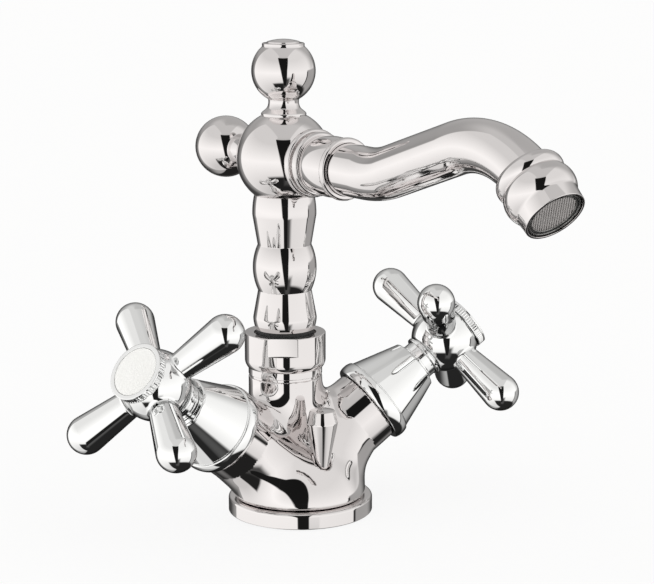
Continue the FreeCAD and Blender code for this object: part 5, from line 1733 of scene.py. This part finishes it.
@dataclass
class Studio:
    """Floor, camera and the light panels of the studio."""

    eye: tuple[float, float, float] = (-365.33, -542.21, 209.51)
    heading: float = 34.797
    pitch: float = 11.459
    roll: float = -0.115
    focal_pixels: float = 1952.67
    sensor: float = 36.0
    clip: tuple[float, float] = (0.01, 50.0)
    floor_radius: float = 4000.0
    floor_level: float = -0.05
    floor_glow: float = 0.86
    floor_tones: tuple[tuple[float, float, float], ...] = ((0.9, 0.9, 0.895), (0.87, 0.87, 0.865))
    floor_cloud: float = 6.0
    backdrop_light: float = 0.42
    ceiling_light: float = 0.66
    ceiling_range: tuple[float, float] = (30.0, 58.0)
    warmth: tuple[float, float] = (0.992, 0.98)
    high_height: float = 36.0
    peak_height: float = -5.0
    low_height: float = -65.0
    fill: float = 1.6
    panels: tuple[Panel, ...] = (
        Panel("left_softbox", (-159.0, -57.0), (-91.0, 66.0), (0.72, 1.2, 0.8), 3.0, flat=True),
        Panel("left_wing", (-75.0, -57.0), (-50.0, 49.0), (0.72, 1.2, 0.8), 2.0, (-75.0, -28.0)),
        Panel("right_softbox", (-21.0, 104.0), (0.0, 64.0), (0.66, 1.1, 0.88), 3.0, flat=True),
        Panel("right_foot", (-21.0, 62.0), (-91.0, 1.5), (0.66, 1.1, 0.88), 3.0),
        Panel("side_fade", (84.0, 160.0), (2.0, 89.5), (0.5, 0.5, 0.5), 40.0),
        Panel("back_flag", (112.0, 190.0), (-50.0, 9.0), (0.06, 0.06, 0.06), 30.0),
        Panel("side_edge", (60.0, 65.0), (-80.0, -3.0), (0.03, 0.03, 0.03), 3.0),
        Panel("table_flag", (-80.0, 165.0), (-91.0, -40.0), (0.018, 0.018, 0.018), 8.0),
        Panel("slit_shade", (-32.0, -9.0), (-62.0, -22.0), (0.08, 0.08, 0.08), 15.0),
        Panel("slit_top", (-61.0, -11.0), (5.0, 49.0), (0.012, 0.012, 0.01), 2.0, (-42.0, -20.0)),
        Panel("slit_foot", (-42.0, -20.0), (-50.0, 6.0), (0.012, 0.012, 0.01), 2.0, (-31.0, -22.0)),
    )

    def panel_group(self) -> bpy.types.NodeTree:
        """Return the group that gives one panel's mask and light from azimuth and elevation.

        The mask falls from one to nought across the border that lies nearest, beside, above or below.

        Returns:
            The node group.
        """
        names = ["Azimuth", "Elevation", "Slope", *self.panels[0].inputs()]
        nodes = node_group("StudioPanel", {name: ("NodeSocketFloat", 0.0) for name in names},
                           {"Mask": "NodeSocketFloat", "Light": "NodeSocketFloat"})
        source, target = nodes.tree.nodes[0], nodes.tree.nodes[1]
        get = source.outputs
        ends = (get["Low slope"], get["High slope"])
        middle = nodes.span(get["Slope"], ends, (get["Low middle"], get["High middle"]))
        half = nodes.span(get["Slope"], ends, (get["Low half"], get["High half"]))
        off = nodes.math("WRAP", nodes.math("SUBTRACT", get["Azimuth"], middle), 180.0, -180.0)
        beyond = nodes.math("SUBTRACT", nodes.math("ABSOLUTE", off), half)
        sink = nodes.math("COSINE", nodes.math("MULTIPLY", nodes.math("RADIANS", off), get["Flat"]))
        edge = nodes.math("ARCTANGENT", nodes.math("MULTIPLY", get["High slope"], sink))
        above = nodes.math("SUBTRACT", get["Elevation"], nodes.math("DEGREES", edge))
        below = nodes.math("SUBTRACT", get["Low"], get["Elevation"])
        worst = nodes.math("MAXIMUM", nodes.math("MAXIMUM", beyond, above), below)
        blur = nodes.math("MULTIPLY", get["Edge"], 0.5)
        mask = nodes.span(worst, (nodes.math("MULTIPLY", blur, -1.0), blur), (1.0, 0.0), True)
        rising = nodes.span(get["Elevation"], (self.low_height, self.peak_height),
                            (get["Low light"], get["Peak light"]))
        falling = nodes.span(get["Elevation"], (self.peak_height, self.high_height),
                             (get["Peak light"], get["High light"]))
        upper = nodes.math("GREATER_THAN", get["Elevation"], self.peak_height)
        light = nodes.blend(upper, rising, falling)
        nodes.tree.links.new(mask, target.inputs["Mask"])
        nodes.tree.links.new(light, target.inputs["Light"])
        return nodes.tree

    def build_world(self) -> None:
        """Make the world: plain white to the camera, and the studio's panels to every other ray."""
        world = bpy.data.worlds.new("studio")
        bpy.context.scene.world = world
        world.use_nodes = True
        nodes = Nodes(world.node_tree)
        sky = world.node_tree.nodes["Background"]
        way = nodes.add("ShaderNodeSeparateXYZ", None,
                        {0: nodes.add("ShaderNodeTexCoord").outputs["Generated"]})
        front = nodes.math("MULTIPLY", way.outputs[1], -1.0)
        azimuth = nodes.math("DEGREES", nodes.math("ARCTAN2", way.outputs[0], front))
        rise = nodes.math("ARCSINE", way.outputs[2])
        elevation = nodes.math("DEGREES", rise)
        seen = {"Azimuth": azimuth, "Elevation": elevation, "Slope": nodes.math("TANGENT", rise)}
        light = nodes.span(elevation, self.ceiling_range, (self.backdrop_light, self.ceiling_light), True)
        group = self.panel_group()
        for panel in self.panels:
            placed = nodes.add("ShaderNodeGroup", {"node_tree": group, "label": panel.name},
                               {**seen, **panel.inputs()})
            light = nodes.blend(placed.outputs["Mask"], light, placed.outputs["Light"])
        ray = nodes.add("ShaderNodeLightPath")
        shown = nodes.math("MAXIMUM", ray.outputs["Is Camera Ray"], ray.outputs["Is Transmission Ray"])
        fill = nodes.span(ray.outputs["Is Diffuse Ray"], (0.0, 1.0), (1.0, self.fill))
        light = nodes.math("MULTIPLY", light, fill)
        green, blue = [nodes.math("MULTIPLY", light, share) for share in self.warmth]
        warm = nodes.add("ShaderNodeCombineColor", None, {0: light, 1: green, 2: blue})
        colour = nodes.mix(shown, warm.outputs[0], (1.0, 1.0, 1.0, 1.0))
        world.node_tree.links.new(colour, sky.inputs["Color"])

    def floor_material(self) -> bpy.types.Material:
        """Return the pale floor, through which metal sees the studio's lower panels.

        To the camera it is mostly plain white and for the rest matt, so that it keeps the tap's shadow.

        Returns:
            The material.
        """
        made = bpy.data.materials.new("pale_floor")
        made.use_nodes = True
        nodes = Nodes(made.node_tree)
        link = made.node_tree.links.new
        out = made.node_tree.nodes["Material Output"]
        made.node_tree.nodes.remove(made.node_tree.nodes["Principled BSDF"])
        place = nodes.add("ShaderNodeTexCoord").outputs["Object"]
        cloud = nodes.add("ShaderNodeTexNoise", None,
                          {"Vector": place, "Scale": self.floor_cloud, "Detail": 3.0})
        tone = nodes.mix(cloud.outputs["Fac"], *[(*tone, 1.0) for tone in self.floor_tones])
        matt = nodes.add("ShaderNodeBsdfDiffuse", None, {"Color": tone})
        ray = nodes.add("ShaderNodeLightPath")
        white = nodes.add("ShaderNodeEmission", None, {"Color": (1.0, 1.0, 1.0, 1.0), "Strength": 1.0})
        seen = nodes.math("MULTIPLY", ray.outputs["Is Camera Ray"], self.floor_glow)
        clear = nodes.add("ShaderNodeBsdfTransparent")
        glossy = nodes.math("MAXIMUM", ray.outputs["Is Glossy Ray"], ray.outputs["Is Transmission Ray"])
        shader = matt.outputs[0]
        for share, other in ((seen, white), (glossy, clear)):
            mixed = nodes.add("ShaderNodeMixShader", None, {0: share, 1: shader, 2: other.outputs[0]})
            shader = mixed.outputs[0]
        link(shader, out.inputs["Surface"])
        return made

    def build_floor(self) -> None:
        """Lay the floor as a round sheet just under the base."""
        level = self.floor_level
        disc = lathe([Turn(0.0, level, 0.0), Turn(self.floor_radius, level, 0.0)], around=96)
        mesh = bpy.data.meshes.new("studio_floor")
        faces = [*disc.quads.tolist(), *disc.tris.tolist()]
        mesh.from_pydata((disc.points * MM).tolist(), [], faces)
        mesh.materials.append(self.floor_material())
        floor = bpy.data.objects.new("studio_floor", mesh)
        bpy.context.scene.collection.objects.link(floor)

    def build_camera(self) -> None:
        """Set the camera where the photograph was taken from."""
        data = bpy.data.cameras.new("camera")
        camera = bpy.data.objects.new("camera", data)
        bpy.context.scene.collection.objects.link(camera)
        data.sensor_fit = "HORIZONTAL"
        data.sensor_width = self.sensor
        data.lens = self.focal_pixels / IMAGE_WIDTH * self.sensor
        data.clip_start, data.clip_end = self.clip
        heading, pitch = math.radians(self.heading), math.radians(self.pitch)
        look = Vector((math.sin(heading) * math.cos(pitch), math.cos(heading) * math.cos(pitch),
                       -math.sin(pitch)))
        turn = look.to_track_quat("-Z", "Y").to_matrix().to_4x4()
        tilt = Matrix.Rotation(math.radians(self.roll), 4, "Z")
        camera.matrix_world = Matrix.Translation(Vector(self.eye) * MM) @ turn @ tilt
        bpy.context.scene.camera = camera

    def build(self) -> None:
        """Make the whole studio."""
        self.build_world()
        self.build_floor()
        self.build_camera()
        bpy.context.scene.view_settings.view_transform = "Standard"


def main() -> None:
    """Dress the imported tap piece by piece."""
    logging.basicConfig(level=logging.INFO, format="%(name)s: %(message)s")
    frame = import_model()
    bench = Workbench(frame)
    valves = Valves()
    column = Column()
    for assembly in (Base(), Body(valves), Bell(valves), Handle(valves), column, Spout(column), PopUp()):
        assembly.build(bench)
    Studio().build()


if __name__ == "__main__":
    main()
